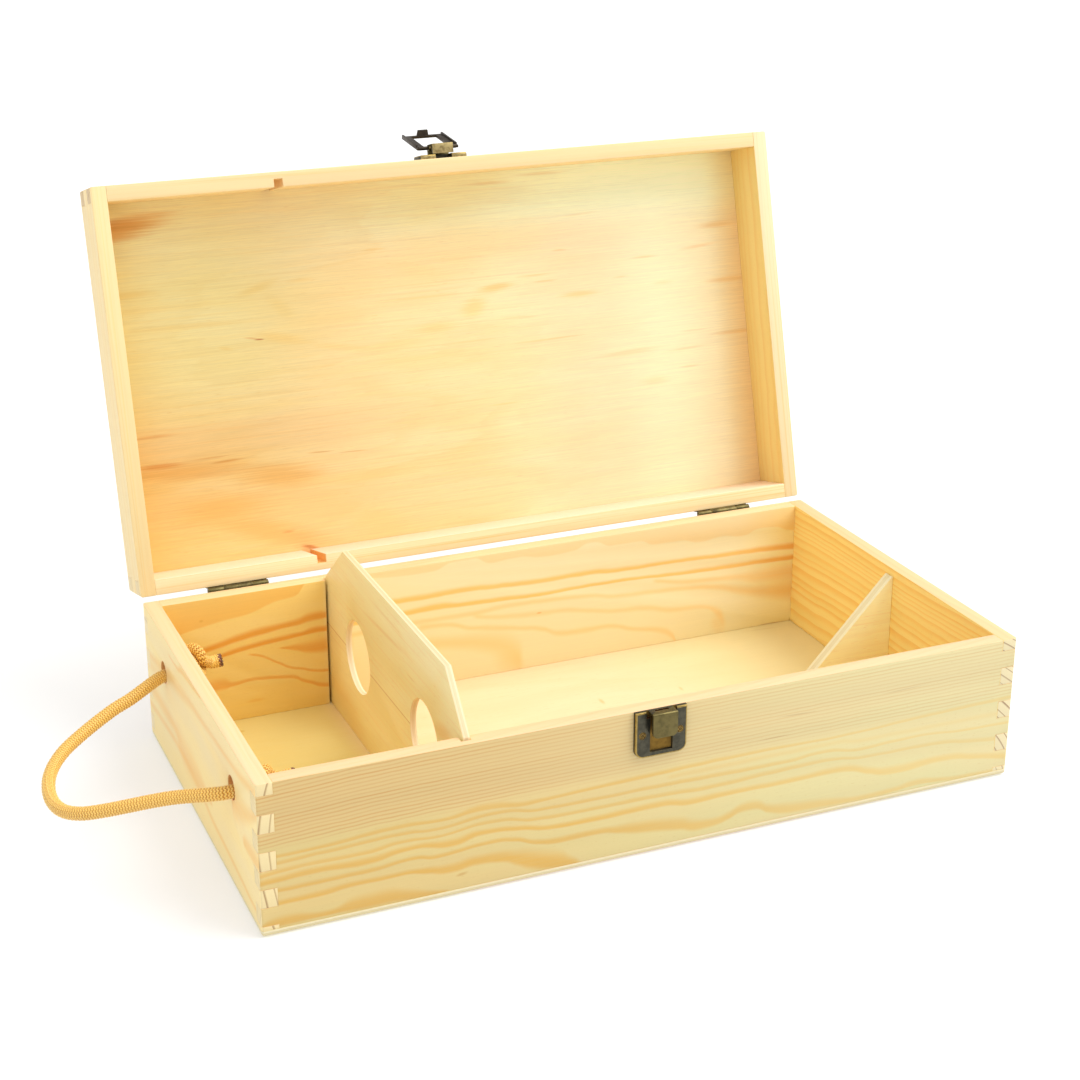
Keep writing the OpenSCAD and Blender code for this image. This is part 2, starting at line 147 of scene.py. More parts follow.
class Mat:
    """A material's node tree, written as expressions."""

    def __init__(self, name):
        self.m = bpy.data.materials.new(name)
        self.m.use_nodes = True
        self.t = self.m.node_tree
        self.t.nodes.clear()
        self.out = self.n("ShaderNodeOutputMaterial")

    def n(self, kind, **kw):
        node = self.t.nodes.new(kind)
        for k, v in kw.items():
            setattr(node, k, v)
        return node

    def set(self, sock, v):
        if v is None:
            return
        if isinstance(v, bpy.types.NodeSocket):
            self.t.links.new(v, sock)
        else:
            sock.default_value = v

    def math(self, op, a, b=None, c=None, clamp=False):
        node = self.n("ShaderNodeMath", operation=op, use_clamp=clamp)
        for s, v in zip(node.inputs, (a, b, c)):
            self.set(s, v)
        return node.outputs[0]

    def add(self, a, b):
        return self.math("ADD", a, b)

    def sub(self, a, b):
        return self.math("SUBTRACT", a, b)

    def mul(self, a, b, clamp=False):
        return self.math("MULTIPLY", a, b, clamp=clamp)

    def div(self, a, b):
        return self.math("DIVIDE", a, b)

    def vec(self, op, a, b=None, scale=None):
        node = self.n("ShaderNodeVectorMath", operation=op)
        self.set(node.inputs[0], a)
        if b is not None:
            self.set(node.inputs[1], b)
        if scale is not None:
            self.set(node.inputs["Scale"], scale)
        return node.outputs["Value" if op in ("LENGTH", "DOT_PRODUCT", "DISTANCE") else "Vector"]

    def parts(self, v):
        node = self.n("ShaderNodeSeparateXYZ")
        self.set(node.inputs[0], v)
        return node.outputs[0], node.outputs[1], node.outputs[2]

    def xyz(self, x, y, z):
        node = self.n("ShaderNodeCombineXYZ")
        for s, v in zip(node.inputs, (x, y, z)):
            self.set(s, v)
        return node.outputs[0]

    def noise(self, v, scale=1.0, detail=2.0, rough=0.5, distortion=0.0):
        node = self.n("ShaderNodeTexNoise", noise_dimensions="3D")
        self.set(node.inputs["Vector"], v)
        node.inputs["Scale"].default_value = scale
        node.inputs["Detail"].default_value = detail
        node.inputs["Roughness"].default_value = rough
        node.inputs["Distortion"].default_value = distortion
        return node.outputs[0]

    def curve(self, x, points):
        """A smooth line through (x, y) points, level past its ends."""
        a0, a1 = points[0][0], points[-1][0]
        lo, hi = min(p[1] for p in points) - 1.0, max(p[1] for p in points) + 1.0
        node = self.n("ShaderNodeFloatCurve")
        self.set(node.inputs["Value"], self.step(x, a0, a1, kind="LINEAR"))
        line = node.mapping.curves[0].points
        for i, (a, b) in enumerate((p[0], p[1]) for p in points):
            at = ((a - a0) / (a1 - a0), (b - lo) / (hi - lo))
            if i == 0:
                line[0].location = at
            elif i == len(points) - 1:
                line[len(line) - 1].location = at
            else:
                line.new(*at)
        for point in line:
            point.handle_type = "AUTO_CLAMPED"
        node.mapping.update()
        return self.add(self.mul(node.outputs[0], hi - lo), lo)

    def noise1(self, w, scale=1.0, detail=0.0):
        node = self.n("ShaderNodeTexNoise", noise_dimensions="1D")
        self.set(node.inputs["W"], w)
        node.inputs["Scale"].default_value = scale
        node.inputs["Detail"].default_value = detail
        return node.outputs[0]

    def white(self, w):
        node = self.n("ShaderNodeTexWhiteNoise", noise_dimensions="1D")
        self.set(node.inputs["W"], w)
        return node.outputs[0]

    def step(self, f, lo, hi, a=0.0, b=1.0, kind="SMOOTHSTEP"):
        """Smooth step of f from lo to hi, giving a to b."""
        node = self.n("ShaderNodeMapRange", interpolation_type=kind)
        for s, v in zip(node.inputs, (f, lo, hi, a, b)):
            self.set(s, v)
        return node.outputs[0]

    def mix(self, f, a, b, blend="MIX"):
        node = self.n("ShaderNodeMix", data_type="RGBA", blend_type=blend)
        self.set(node.inputs[0], f)
        self.set(node.inputs[6], a)
        self.set(node.inputs[7], b)
        return node.outputs[2]

    def rotate(self, v, degrees, centre=(0, 0, 0)):
        node = self.n("ShaderNodeVectorRotate", rotation_type="X_AXIS")
        self.set(node.inputs["Vector"], v)
        node.inputs["Center"].default_value = centre
        node.inputs["Angle"].default_value = math.radians(degrees)
        return node.outputs[0]

    def bump(self, height, strength, distance):
        node = self.n("ShaderNodeBump")
        node.inputs["Strength"].default_value = strength
        node.inputs["Distance"].default_value = distance
        self.set(node.inputs["Height"], height)
        return node.outputs[0]

    def shader(self, colour, rough, normal=None, metallic=0.0, specular=0.5, **more):
        node = self.n("ShaderNodeBsdfPrincipled")
        self.set(node.inputs["Base Color"], colour)
        self.set(node.inputs["Roughness"], rough)
        node.inputs["Metallic"].default_value = metallic
        node.inputs["Specular IOR Level"].default_value = specular
        for k, v in more.items():
            node.inputs[k.replace("_", " ")].default_value = v
        self.set(node.inputs["Normal"], normal)
        self.t.links.new(node.outputs[0], self.out.inputs[0])
        return self.m


def board_space(m, along, lid, origin=(0, 0, 0)):
    """Position in mm as (along the grain, across the board, through it), and how much a face is end grain."""
    tc = m.n("ShaderNodeTexCoord")
    p, nrm = tc.outputs["Object"], tc.outputs["Normal"]
    if lid:
        p = m.rotate(p, LID_OPEN, (0, AXIS_Y * MM, AXIS_Z * MM))
        nrm = m.rotate(nrm, LID_OPEN)
    x, y, z = m.parts(m.vec("SCALE", p, scale=1000.0))
    nx, ny, nz = m.parts(nrm)
    order = {"x": (x, z, y, nx), "y": (y, z, x, ny), "xp": (x, y, z, nx), "yp": (y, x, z, ny), "yd": (y, z, x, ny), "xw": (x, z, y, nx)}[along]
    end = m.step(m.math("ABSOLUTE", order[3]), 0.55, 0.85)
    return order[0], order[1], order[2], end, (nx, ny, nz), (x, y, z)


PALE = (252, 232, 184)
CREAM = (243, 198, 158)
CREAM_LID = (246, 230, 192)
EARLY = (246, 219, 158)
LATE = (232, 184, 104)
END = (226, 218, 172)
END_LINE = (128, 108, 70)


def spots(m, col, a, b, items, grain=None, rag=0.9):
    """Stains and flecks: (a, b, half length, half width, slope, strength, colour), in mm on the board."""
    for ca, cb, ra, rb, slope, amount, colour in items:
        da = m.sub(a, ca)
        db = m.sub(m.sub(b, cb), m.mul(da, slope))
        d = m.math("SQRT", m.add(m.math("POWER", m.div(da, ra), 2.0), m.math("POWER", m.div(db, rb), 2.0)))
        if grain is not None:
            d = m.add(d, m.mul(m.sub(grain, 0.5), rag * 2))
        col = m.mix(m.step(d, 1.3, 0.2, 0.0, amount), col, lin(colour))
    return col


def veins(m, col, along, across, fib, colour, items):
    """Growth lines that run along a board, each by (place, height, thickness) points in mm: soft above and crisp below."""
    for strength, points, *span in items:
        line = m.curve(along, [(p[0], p[1]) for p in points])
        soft = strength < 0.6
        q = m.div(m.sub(across, line), m.curve(along, [(p[0], p[2] * (1.6 if soft else 1.1)) for p in points]))
        f = m.mul(m.step(q, 1.2, -0.1), m.step(q, -1.2, 0.0)) if soft else m.mul(m.step(q, 1.0, 0.05), m.step(q, -0.62, -0.15))
        f = m.mul(f, m.add(0.7, m.mul(fib, 0.6)))
        if span:
            f = m.mul(f, m.mul(m.step(along, span[0] - 3.0, span[0] + 1.0), m.step(along, span[1] + 3.0, span[1] - 1.0)))
        col = m.mix(m.mul(f, strength, clamp=True), col, colour)
    return col


def pine(name, along, pith, k, tilt=(0.0, 0.0), warp=(1.5, 0.45), waves=(100.0, 22.0), seed=0.0, phase=0.0, early=EARLY, late=LATE,
         strength=0.7, width=0.42, tone=None, fade=None, accent=(), lid=False, fibre=0.05, rough=0.55, rim=0.75, end=END, end_line=END_LINE,
         end_amount=0.7, extra=None, after=None, drawn=None, rim_col=None, rim_line=0.5):
    """Sawn pine: growth rings round a pith line, cut by the board's faces, so each face and end shows its own side of them."""
    m = Mat(name)
    u, v, w, ends, nrm, raw = board_space(m, along, lid)
    su = m.add(u, seed * 173.0)
    big = m.noise(m.xyz(m.div(su, waves[0]), m.div(v, 55.0), m.div(w, 55.0)), 1.0, 0.0, 0.5)
    small = m.noise(m.xyz(m.div(su, waves[1]), m.div(v, 26.0), m.add(m.div(w, 26.0), 7.3)), 1.0, 1.0, 0.5)
    bend = m.add(m.mul(m.sub(big, 0.5), warp[0] * 4), m.mul(m.sub(small, 0.5), warp[1] * 4))
    vv = m.add(m.add(m.sub(v, pith[0]), m.mul(u, tilt[0])), m.mul(bend, 0.25))
    ww = m.add(m.add(m.sub(w, pith[1]), m.mul(u, tilt[1])), bend)
    r2 = m.add(m.mul(vv, vv), m.mul(ww, ww))
    t = m.add(m.mul(r2, k), phase + 20.0)
    t = m.add(t, m.mul(m.sub(m.noise1(m.add(m.mul(t, 0.37), seed * 3.1)), 0.5), 0.9))
    ring = m.math("FLOOR", t)
    f = m.sub(t, ring)
    lot = m.white(m.add(ring, seed * 11.0))
    lot2 = m.white(m.add(ring, seed * 11.0 + 57.3))
    lo = m.sub(0.93 - width, m.mul(lot2, width * 0.5))
    band = m.mul(m.step(f, lo, 0.9), m.step(f, 1.0, 0.93))
    power = m.add(0.4, m.mul(lot, 0.6))
    for number, more in accent:
        power = m.add(power, m.mul(m.math("COMPARE", ring, number + 20.0, 0.3), more))
    band = m.mul(band, power)
    if fade:
        band = m.mul(band, m.step(v, fade[0], fade[1], 1.0, fade[2]))
    if drawn:
        # the face on this side has its own drawn lines
        band = m.mul(band, m.step(m.mul(nrm[drawn[0]], drawn[1]), 0.5, 0.8, 1.0, 0.0))
    fib = m.noise(m.xyz(m.div(su, 38.0), m.div(v, 0.42), m.div(w, 0.42)), 1.0, 2.0, 0.55)
    fib2 = m.noise(m.xyz(m.div(su, 9.0), m.div(v, 0.16), m.div(w, 0.16)), 1.0, 1.0, 0.5)
    dash = m.noise(m.xyz(m.div(su, 2.2), m.div(v, 0.28), m.div(w, 0.28)), 1.0, 0.0, 0.5)
    cloud = m.noise(m.xyz(m.div(su, 95.0), m.div(v, 17.0), m.div(w, 17.0)), 1.0, 2.0, 0.5)
    base = m.mix(m.step(cloud, 0.34, 0.68), lin(early), lin(tone or early))
    # the latewood lines are themselves bundles of fibres, so their edges fray
    frayed = m.mul(band, m.add(0.72, m.mul(fib, 0.56)))
    col = m.mix(m.mul(frayed, strength, clamp=True), base, lin(late))
    col = m.mix(m.step(dash, 0.73, 0.82, 0.0, 0.3), col, lin((214, 160, 96)))
    if extra:
        col = extra(m, col, raw, (u, v, w), nrm, fib)
    edge_lines = m.noise(m.xyz(m.div(su, 220.0), m.div(v, 0.9), m.div(w, 0.9)), 1.0, 2.0, 0.6)
    edge_col = m.mix(m.step(edge_lines, 0.48, 0.7, 0.0, rim_line), lin(rim_col or (CREAM_LID if lid else CREAM)), lin((238, 200, 120) if lid else (236, 190, 130)))
    col = m.mix(m.step(m.mul(nrm[2], -1.0 if lid else 1.0), 0.5, 0.9, 0.0, rim), col, edge_col)
    shade = m.add(1.0 - fibre, m.mul(m.add(m.mul(fib, 0.6), m.mul(fib2, 0.4)), fibre * 2))
    col = m.mix(1.0, col, m.xyz(shade, shade, m.add(m.mul(shade, 0.6), 0.4)), "MULTIPLY")
    # end grain: paler and greyer, with thin dark rings and pores
    pores = m.noise(m.vec("SCALE", m.xyz(m.mul(u, 0.05), v, w), scale=2.6), 1.0, 2.0, 0.6)
    endband = m.mul(m.step(f, 0.74, 0.9), m.step(f, 1.0, 0.93))
    ecol = m.mix(m.mul(endband, m.mul(m.add(0.5, m.mul(lot, 0.5)), end_amount)), lin(end), lin(end_line))
    ecol = m.mix(m.step(pores, 0.4, 0.75, 0.0, 0.3), ecol, lin((222, 200, 150)))
    col = m.mix(ends, col, ecol)
    if after:
        col = after(m, col, raw)
    height = m.add(m.mul(fib, 0.5), m.add(m.mul(fib2, 0.5), m.mul(band, 0.5)))
    nor = m.bump(height, 0.14, 0.0002)
    rgh = m.add(rough - 0.06, m.mul(fib, 0.12))
    return m.shader(col, rgh, nor, specular=0.35)


def ply(name, along, w0, thick=3.0, seed=0.0, face=(249, 224, 165), late=(233, 184, 108), strength=0.16, spacing=1.1, hills=(170.0, 38.0, 2.6),
        lid=False, tone=(253, 234, 186), edge=(246, 228, 184), core=(236, 212, 160), glue=0.22, extra=None, fibre=0.06, rough=0.5, streak=0.3):
    """Plywood with a peeled face veneer: soft figure under fine straight fibres, and the edge shows the layers."""
    m = Mat(name)
    u, v, w, end, nrm, raw = board_space(m, along, lid)
    su = m.add(u, seed * 211.0)
    sv = m.add(v, seed * 37.0)
    hill = m.noise(m.xyz(m.div(su, hills[0]), m.div(sv, hills[1]), seed * 1.7), 1.0, 1.0, 0.42)
    hill2 = m.noise(m.xyz(m.div(su, hills[0] * 0.2), m.div(sv, hills[1] * 0.12), seed * 2.3), 1.0, 2.0, 0.5)
    depth = m.add(m.mul(hill, hills[2] * 4), m.mul(hill2, hills[2] * 0.5))
    t = m.div(depth, spacing)
    ring = m.math("FLOOR", t)
    f = m.sub(t, ring)
    lot = m.white(m.add(ring, seed * 5.0 + 3.0))
    band = m.mul(m.mul(m.step(f, 0.1, 0.85), m.step(f, 1.0, 0.85)), m.add(0.3, m.mul(lot, 0.7)))
    fib = m.noise(m.xyz(m.div(su, 30.0), m.div(sv, 0.55), w), 1.0, 3.0, 0.6)
    fib2 = m.noise(m.xyz(m.div(su, 6.0), m.div(sv, 0.22), w), 1.0, 1.0, 0.5)
    lines = m.noise(m.xyz(m.div(su, 70.0), m.div(sv, 1.5), m.add(w, 4.0)), 1.0, 2.0, 0.6)
    dash = m.noise(m.xyz(m.div(su, 5.0), m.div(sv, 0.4), m.add(w, 9.0)), 1.0, 0.0, 0.5)
    cloud = m.noise(m.xyz(m.div(su, 80.0), m.div(sv, 22.0), seed), 1.0, 2.0, 0.5)
    base = m.mix(m.step(cloud, 0.35, 0.66), lin(face), lin(tone))
    col = m.mix(m.mul(band, m.mul(strength, m.add(0.5, fib))), base, lin(late))
    col = m.mix(m.mul(m.step(lines, 0.5, 0.72), streak), col, lin((240, 196, 134)))
    col = m.mix(m.step(dash, 0.72, 0.82, 0.0, 0.35), col, lin((224, 168, 108)))
    if extra:
        col = extra(m, col, raw, (u, v, w), nrm, m.add(m.mul(fib, 0.5), m.mul(lines, 0.5)))
    shade = m.add(1.0 - fibre, m.mul(m.add(m.mul(fib, 0.65), m.mul(fib2, 0.35)), fibre * 2))
    col = m.mix(1.0, col, m.xyz(shade, shade, m.add(m.mul(shade, 0.6), 0.4)), "MULTIPLY")
    # the edge: outer veneers run along, the core runs across
    layer = m.div(m.sub(w, w0), thick)
    mid = m.mul(m.step(layer, 0.29, 0.35), m.step(layer, 0.71, 0.65))
    seam = m.add(m.mul(m.step(layer, 0.27, 0.31), m.step(layer, 0.35, 0.31)), m.mul(m.step(layer, 0.65, 0.69), m.step(layer, 0.73, 0.69)))
    speck = m.noise(m.xyz(m.div(u, 2.0), m.div(v, 2.0), m.mul(w, 5.0)), 1.0, 2.0, 0.6)
    ecol = m.mix(mid, lin(edge), lin(core))
    ecol = m.mix(m.mul(seam, glue), ecol, lin((176, 140, 92)))
    ecol = m.mix(m.step(speck, 0.35, 0.8, 0.0, 0.35), ecol, lin((226, 200, 150)))
    axis = {"xp": nrm[2], "yp": nrm[2], "yd": nrm[0], "xw": nrm[1]}[along]
    on_face = m.step(m.math("ABSOLUTE", axis), 0.6, 0.8)
    col = m.mix(on_face, ecol, col)
    nor = m.bump(m.add(m.mul(fib, 0.6), m.mul(fib2, 0.4)), 0.12, 0.0002)
    return m.shader(col, rough, nor, specular=0.35)


def metal(name, colour, dark, rough, amount=0.5, scale=300.0):
    m = Mat(name)
    tc = m.n("ShaderNodeTexCoord")
    p = tc.outputs["Object"]
    n1 = m.noise(p, scale, 3.0, 0.6)
    n2 = m.noise(p, scale * 5.0, 2.0, 0.6)
    col = m.mix(m.step(n1, 0.38, 0.66, 0.0, amount), lin(colour), lin(dark))
    rgh = m.add(rough, m.mul(m.sub(n1, 0.5), 0.25))
    nor = m.bump(n2, 0.12, 0.00005)
    return m.shader(col, rgh, nor, metallic=0.9, specular=0.5)


def cord_mat(name, colour, deep, painted_crown_highlight, painted_gap_shade):
    """Glossy yarn, by each strand's own UVs: fine fibres run along it, with a painted highlight where it passes over
    and painted shade where it dips under and along its edges.
    """
    m = Mat(name)
    uv = m.n("ShaderNodeUVMap", uv_map="strand").outputs[0]
    a, b, _ = m.parts(uv)
    fib = m.noise(m.xyz(m.mul(a, 0.6), m.mul(b, 9.0), 0.0), 1.0, 2.0, 0.6)
    phi = m.mul(a, 2 * math.pi * 10 / 13)
    other = m.step(b, 150.0, 151.0)
    lift = m.sub(m.mul(m.math("COSINE", phi), m.sub(1.0, other)), m.mul(m.math("SINE", phi), other))
    across = m.div(m.math("MODULO", b, 8.0), 4.0)
    edge = m.step(m.math("ABSOLUTE", m.sub(across, 0.357)), 0.14, 0.34)
    col = m.mix(m.step(fib, 0.3, 0.75), lin(deep), lin(colour))
    # painted highlight on the crown of each strand where it passes over
    col = m.mix(m.mul(m.mul(m.step(lift, -0.1, 0.9), m.sub(1.0, edge)), 0.75), col, lin(painted_crown_highlight))
    # painted shade where each strand dips under and along its edges
    col = m.mix(m.mul(m.math("MAXIMUM", m.step(lift, 0.1, -0.8), edge), 0.7), col, lin(painted_gap_shade))
    nor = m.bump(fib, 0.35, 0.00015)
    node = m.shader(col, 0.36, nor, specular=0.6)
    bs = [x for x in m.t.nodes if x.type == "BSDF_PRINCIPLED"][0]
    bs.inputs["Sheen Weight"].default_value = 0.25
    bs.inputs["Sheen Roughness"].default_value = 0.4
    return m.m


# ---------------------------------------------------------------- rope

def smooth_path(points, step):
    """A Catmull-Rom curve through the points, sampled every step, in the points' unit."""
    p = [Vector(q) for q in points]
    out = []
    for i in range(len(p) - 1):
        a, b, c, d = p[max(i - 1, 0)], p[i], p[i + 1], p[min(i + 2, len(p) - 1)]
        n = max(2, int((c - b).length / step * 4))
        for k in range(n):
            t = k / n
            out.append(0.5 * ((2 * b) + (c - a) * t + (2 * a - 5 * b + 4 * c - d) * t * t + (3 * b - a - 3 * c + d) * t ** 3))
    out.append(p[-1])
    # respace
    q = np.array([tuple(x) for x in out])
    al = np.concatenate([[0], np.cumsum(np.linalg.norm(np.diff(q, axis=0), axis=1))])
    n = max(2, int(round(al[-1] / step)) + 1)
    at = np.linspace(0, al[-1], n)
    return np.stack([np.interp(at, al, q[:, k]) for k in range(3)], axis=1), al[-1]


def frames_along(path):
    """Tangents and two steady normals along a path, with no twist."""
    t = np.gradient(path, axis=0)
    t /= np.linalg.norm(t, axis=1)[:, None]
    n = np.zeros_like(path)
    ref = np.array([0.0, 0.0, 1.0]) if abs(t[0][2]) < 0.9 else np.array([0.0, 1.0, 0.0])
    n[0] = ref - t[0] * ref.dot(t[0])
    n[0] /= np.linalg.norm(n[0])
    for i in range(1, len(path)):
        v = n[i - 1] - t[i] * n[i - 1].dot(t[i])
        n[i] = v / np.linalg.norm(v)
    return t, n, np.cross(t, n)


def braid(name, path, s0, mats, radius=3.12, carriers=10, pitch=13.0, wide=0.55, thick=0.4, swell=0.22, burn=None):
    """A tubular braid of real strands along a path in mm; radius may be one number for each point, and burn is the length scorched at the end."""
    t, n, b = frames_along(path)
    length = np.concatenate([[0], np.cumsum(np.linalg.norm(np.diff(path, axis=0), axis=1))])
    s = length + s0
    radius = np.broadcast_to(np.asarray(radius, float), (len(path),))
    size = radius / 3.12
    r0 = radius - (thick + swell) * size
    verts, faces, uvs, idx = [], [], [], []
    prof = [(-1.0, -0.35), (-0.72, 0.55), (-0.3, 0.93), (0.3, 0.93), (0.72, 0.55), (1.0, -0.35), (0.0, -0.9)]
    m = len(prof)
    burnt = np.zeros(len(path), int)
    if burn:
        burnt[length > length[-1] - burn] = 2
    for way in (1, -1):
        for k in range(carriers):
            th = way * 2 * math.pi * s / pitch + 2 * math.pi * k / carriers + (0 if way > 0 else math.pi / carriers / 2)
            r = r0 + way * swell * size * np.cos(carriers * th)
            radial = np.cos(th)[:, None] * n + np.sin(th)[:, None] * b
            pos = path + radial * r[:, None]
            tang = np.gradient(pos, axis=0)
            tang /= np.linalg.norm(tang, axis=1)[:, None]
            side = np.cross(tang, radial)
            side /= np.linalg.norm(side, axis=1)[:, None]
            out = np.cross(side, tang)
            base = len(verts)
            ring = np.stack([pos + side * (a * wide * size)[:, None] + out * (h * thick * size)[:, None] for a, h in prof], axis=1)
            verts.extend(ring.reshape(-1, 3).tolist())
            run = s
            for i in range(len(path) - 1):
                for j in range(m):
                    q = (j + 1) % m
                    va, vb = j / m * 4 + k * 8 + (200 if way < 0 else 0), (j + 1) / m * 4 + k * 8 + (200 if way < 0 else 0)
                    faces.append((base + i * m + j, base + i * m + q, base + (i + 1) * m + q, base + (i + 1) * m + j))
                    uvs.extend([(run[i], va), (run[i], vb), (run[i + 1], vb), (run[i + 1], va)])
                    idx.append(int(burnt[i]))
            for end in (0, len(path) - 1):
                ringv = [base + end * m + j for j in range(m)]
                faces.append(tuple(ringv if end else ringv[::-1]))
                uvs.extend([(run[end], 0.0)] * m)
                idx.append(int(burnt[end]))
    # the core tube under the strands takes the second material, whose dark colour is painted shade seen between the
    # strands
    sides = 12
    base = len(verts)
    ang = np.arange(sides) * 2 * math.pi / sides
    cr = (r0 - 0.12)[:, None, None]
    ring = path[:, None, :] + cr * (np.cos(ang)[None, :, None] * n[:, None, :] + np.sin(ang)[None, :, None] * b[:, None, :])
    verts.extend(ring.reshape(-1, 3).tolist())
    for i in range(len(path) - 1):
        for j in range(sides):
            q = (j + 1) % sides
            faces.append((base + i * sides + j, base + i * sides + q, base + (i + 1) * sides + q, base + (i + 1) * sides + j))
            uvs.extend([(s[i], j), (s[i], j + 1), (s[i + 1], j + 1), (s[i + 1], j)])
            idx.append(int(burnt[i]) or 1)
    for end in (0, len(path) - 1):
        ringv = [base + end * sides + j for j in range(sides)]
        faces.append(tuple(ringv if end else ringv[::-1]))
        uvs.extend([(0.0, 0.0)] * sides)
        idx.append(int(burnt[end]) or 1)
    me = bpy.data.meshes.new(name)
    me.from_pydata((np.array(verts) * MM).tolist(), [], faces)
    layer = me.uv_layers.new(name="strand")
    layer.data.foreach_set("uv", np.array(uvs, dtype=np.float32).ravel())
    for mat in mats:
        me.materials.append(mat)
    me.polygons.foreach_set("material_index", idx)
    bm = bmesh.new()
    bm.from_mesh(me)
    bmesh.ops.recalc_face_normals(bm, faces=bm.faces)
    bm.to_mesh(me)
    bm.free()
    for p in me.polygons:
        p.use_smooth = True
    me.set_sharp_from_angle(angle=math.radians(60))
    return link(bpy.data.objects.new(name, me))


ROUTE = [
    (-171.5, 58.2, 49.2), (-176, 58.2, 49.2), (-181, 58, 49), (-186, 55.5, 48.2), (-192, 51.5, 47),
    (-199, 48, 45), (-207, 45, 43), (-216, 41, 40), (-225, 36, 37), (-233, 30, 34.5),
    (-239, 22.5, 32.5), (-243, 14, 31), (-245, 5, 30.2), (-245.5, -4, 30), (-244.5, -13, 30.5),
    (-241.5, -21.5, 31.8), (-236, -29, 34), (-228, -35, 36.8), (-219, -40, 39.6), (-210, -44.5, 42.2),
    (-202, -49, 44.4), (-195, -53.8, 46.2), (-189, -58, 47.6), (-184, -60.4, 48.4), (-180, -61, 48.7),
    (-176, -61, 48.8), (-171.5, -61, 48.8)]
# the last two colours of each cord are its painted highlight and its painted shade
M_CORD = cord_mat("cord_yarn", (248, 188, 66), (202, 134, 28), (255, 219, 122), (166, 98, 18))
# the core is coloured dark as painted shade where it shows between the strands
M_CORE_DARK_SHADE = cord_mat("cord_core_painted_shade", (128, 78, 24), (96, 56, 18), (140, 88, 30), (90, 52, 16))
M_BURNT = cord_mat("cord_burnt", (124, 72, 46), (86, 46, 30), (150, 92, 56), (70, 38, 24))
ROPE_MATS = [M_CORD, M_CORE_DARK_SHADE, M_BURNT]


def knot(name, node, enter, centre, tail_z, spin, size, lean):
    """An overhand knot: the cord comes through the hole along +X, goes twice round through itself, and its scorched end points on along +X."""
    cx, cy, cz = centre
    big, small = size, size * 0.58
    pts = [enter, (enter[0] + 2.0, enter[1], enter[2]), (enter[0] + 3.4, enter[1], enter[2] + (cz - size - enter[2]) * 0.5)]
    steps = 26
    for i in range(steps + 1):
        phi = math.radians(8 + (300 - 8) * i / steps)
        around, turn = 2 * phi - math.pi / 2 + lean, 3 * phi - math.pi / 2
        rho = big + small * math.cos(turn)
        pts.append((cx + small * math.sin(turn), cy + spin * rho * math.cos(around), cz + rho * math.sin(around)))
    last = Vector(pts[-1])
    pts += [(cx + small + 2.4, (last[1] + cy) / 2, (last[2] + tail_z) / 2), (cx + small + 4.8, cy, tail_z), (-153.0, cy, tail_z + 0.3)]
    path, total = smooth_path(pts, 0.42)
    al = np.linspace(0, total, len(path))
    thick = size * 0.6
    radius = 3.05 - (3.05 - thick) * np.clip((al - 1.0) / 5, 0, 1) + (3.2 - thick) * np.clip((al - (total - 9)) / 5, 0, 1)
    ob = braid(name, path, 0.0, ROPE_MATS, radius=radius, burn=1.4)
    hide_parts(node)
    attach(ob, "base")
    return ob


knots = [
    knot("rope_knot_back_braid", "rope_knot_back", (-171.5, 58.2, 49.2), (-165.4, 58.0, 53.6), 52.0, 1.0, 4.3, 0.0),
    knot("rope_knot_front_braid", "rope_knot_front", (-171.5, -61.0, 48.8), (-165.6, -61.0, 49.4), 50.8, -1.0, 3.9, 0.0),
]
loop, loop_len = smooth_path(ROUTE, 0.5)
rope = braid("rope_handle_braid", loop, 0.0, ROPE_MATS)
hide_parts("rope_handle")
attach(rope, "base")
cord_path = loop[::8].tolist()
if len(loop) % 8 != 1:
    cord_path.append(loop[-1].tolist())
cord_path = [[c * MM for c in p] for p in cord_path]


# ---------------------------------------------------------------- wood pieces

def waver(m, x, z, amount=0.9, length=15.0):
    return m.add(z, m.mul(m.sub(m.noise(m.xyz(m.div(x, length), 0.0, m.div(z, 8.0)), 1.0, 1.0, 0.5), 0.5), amount * 2))


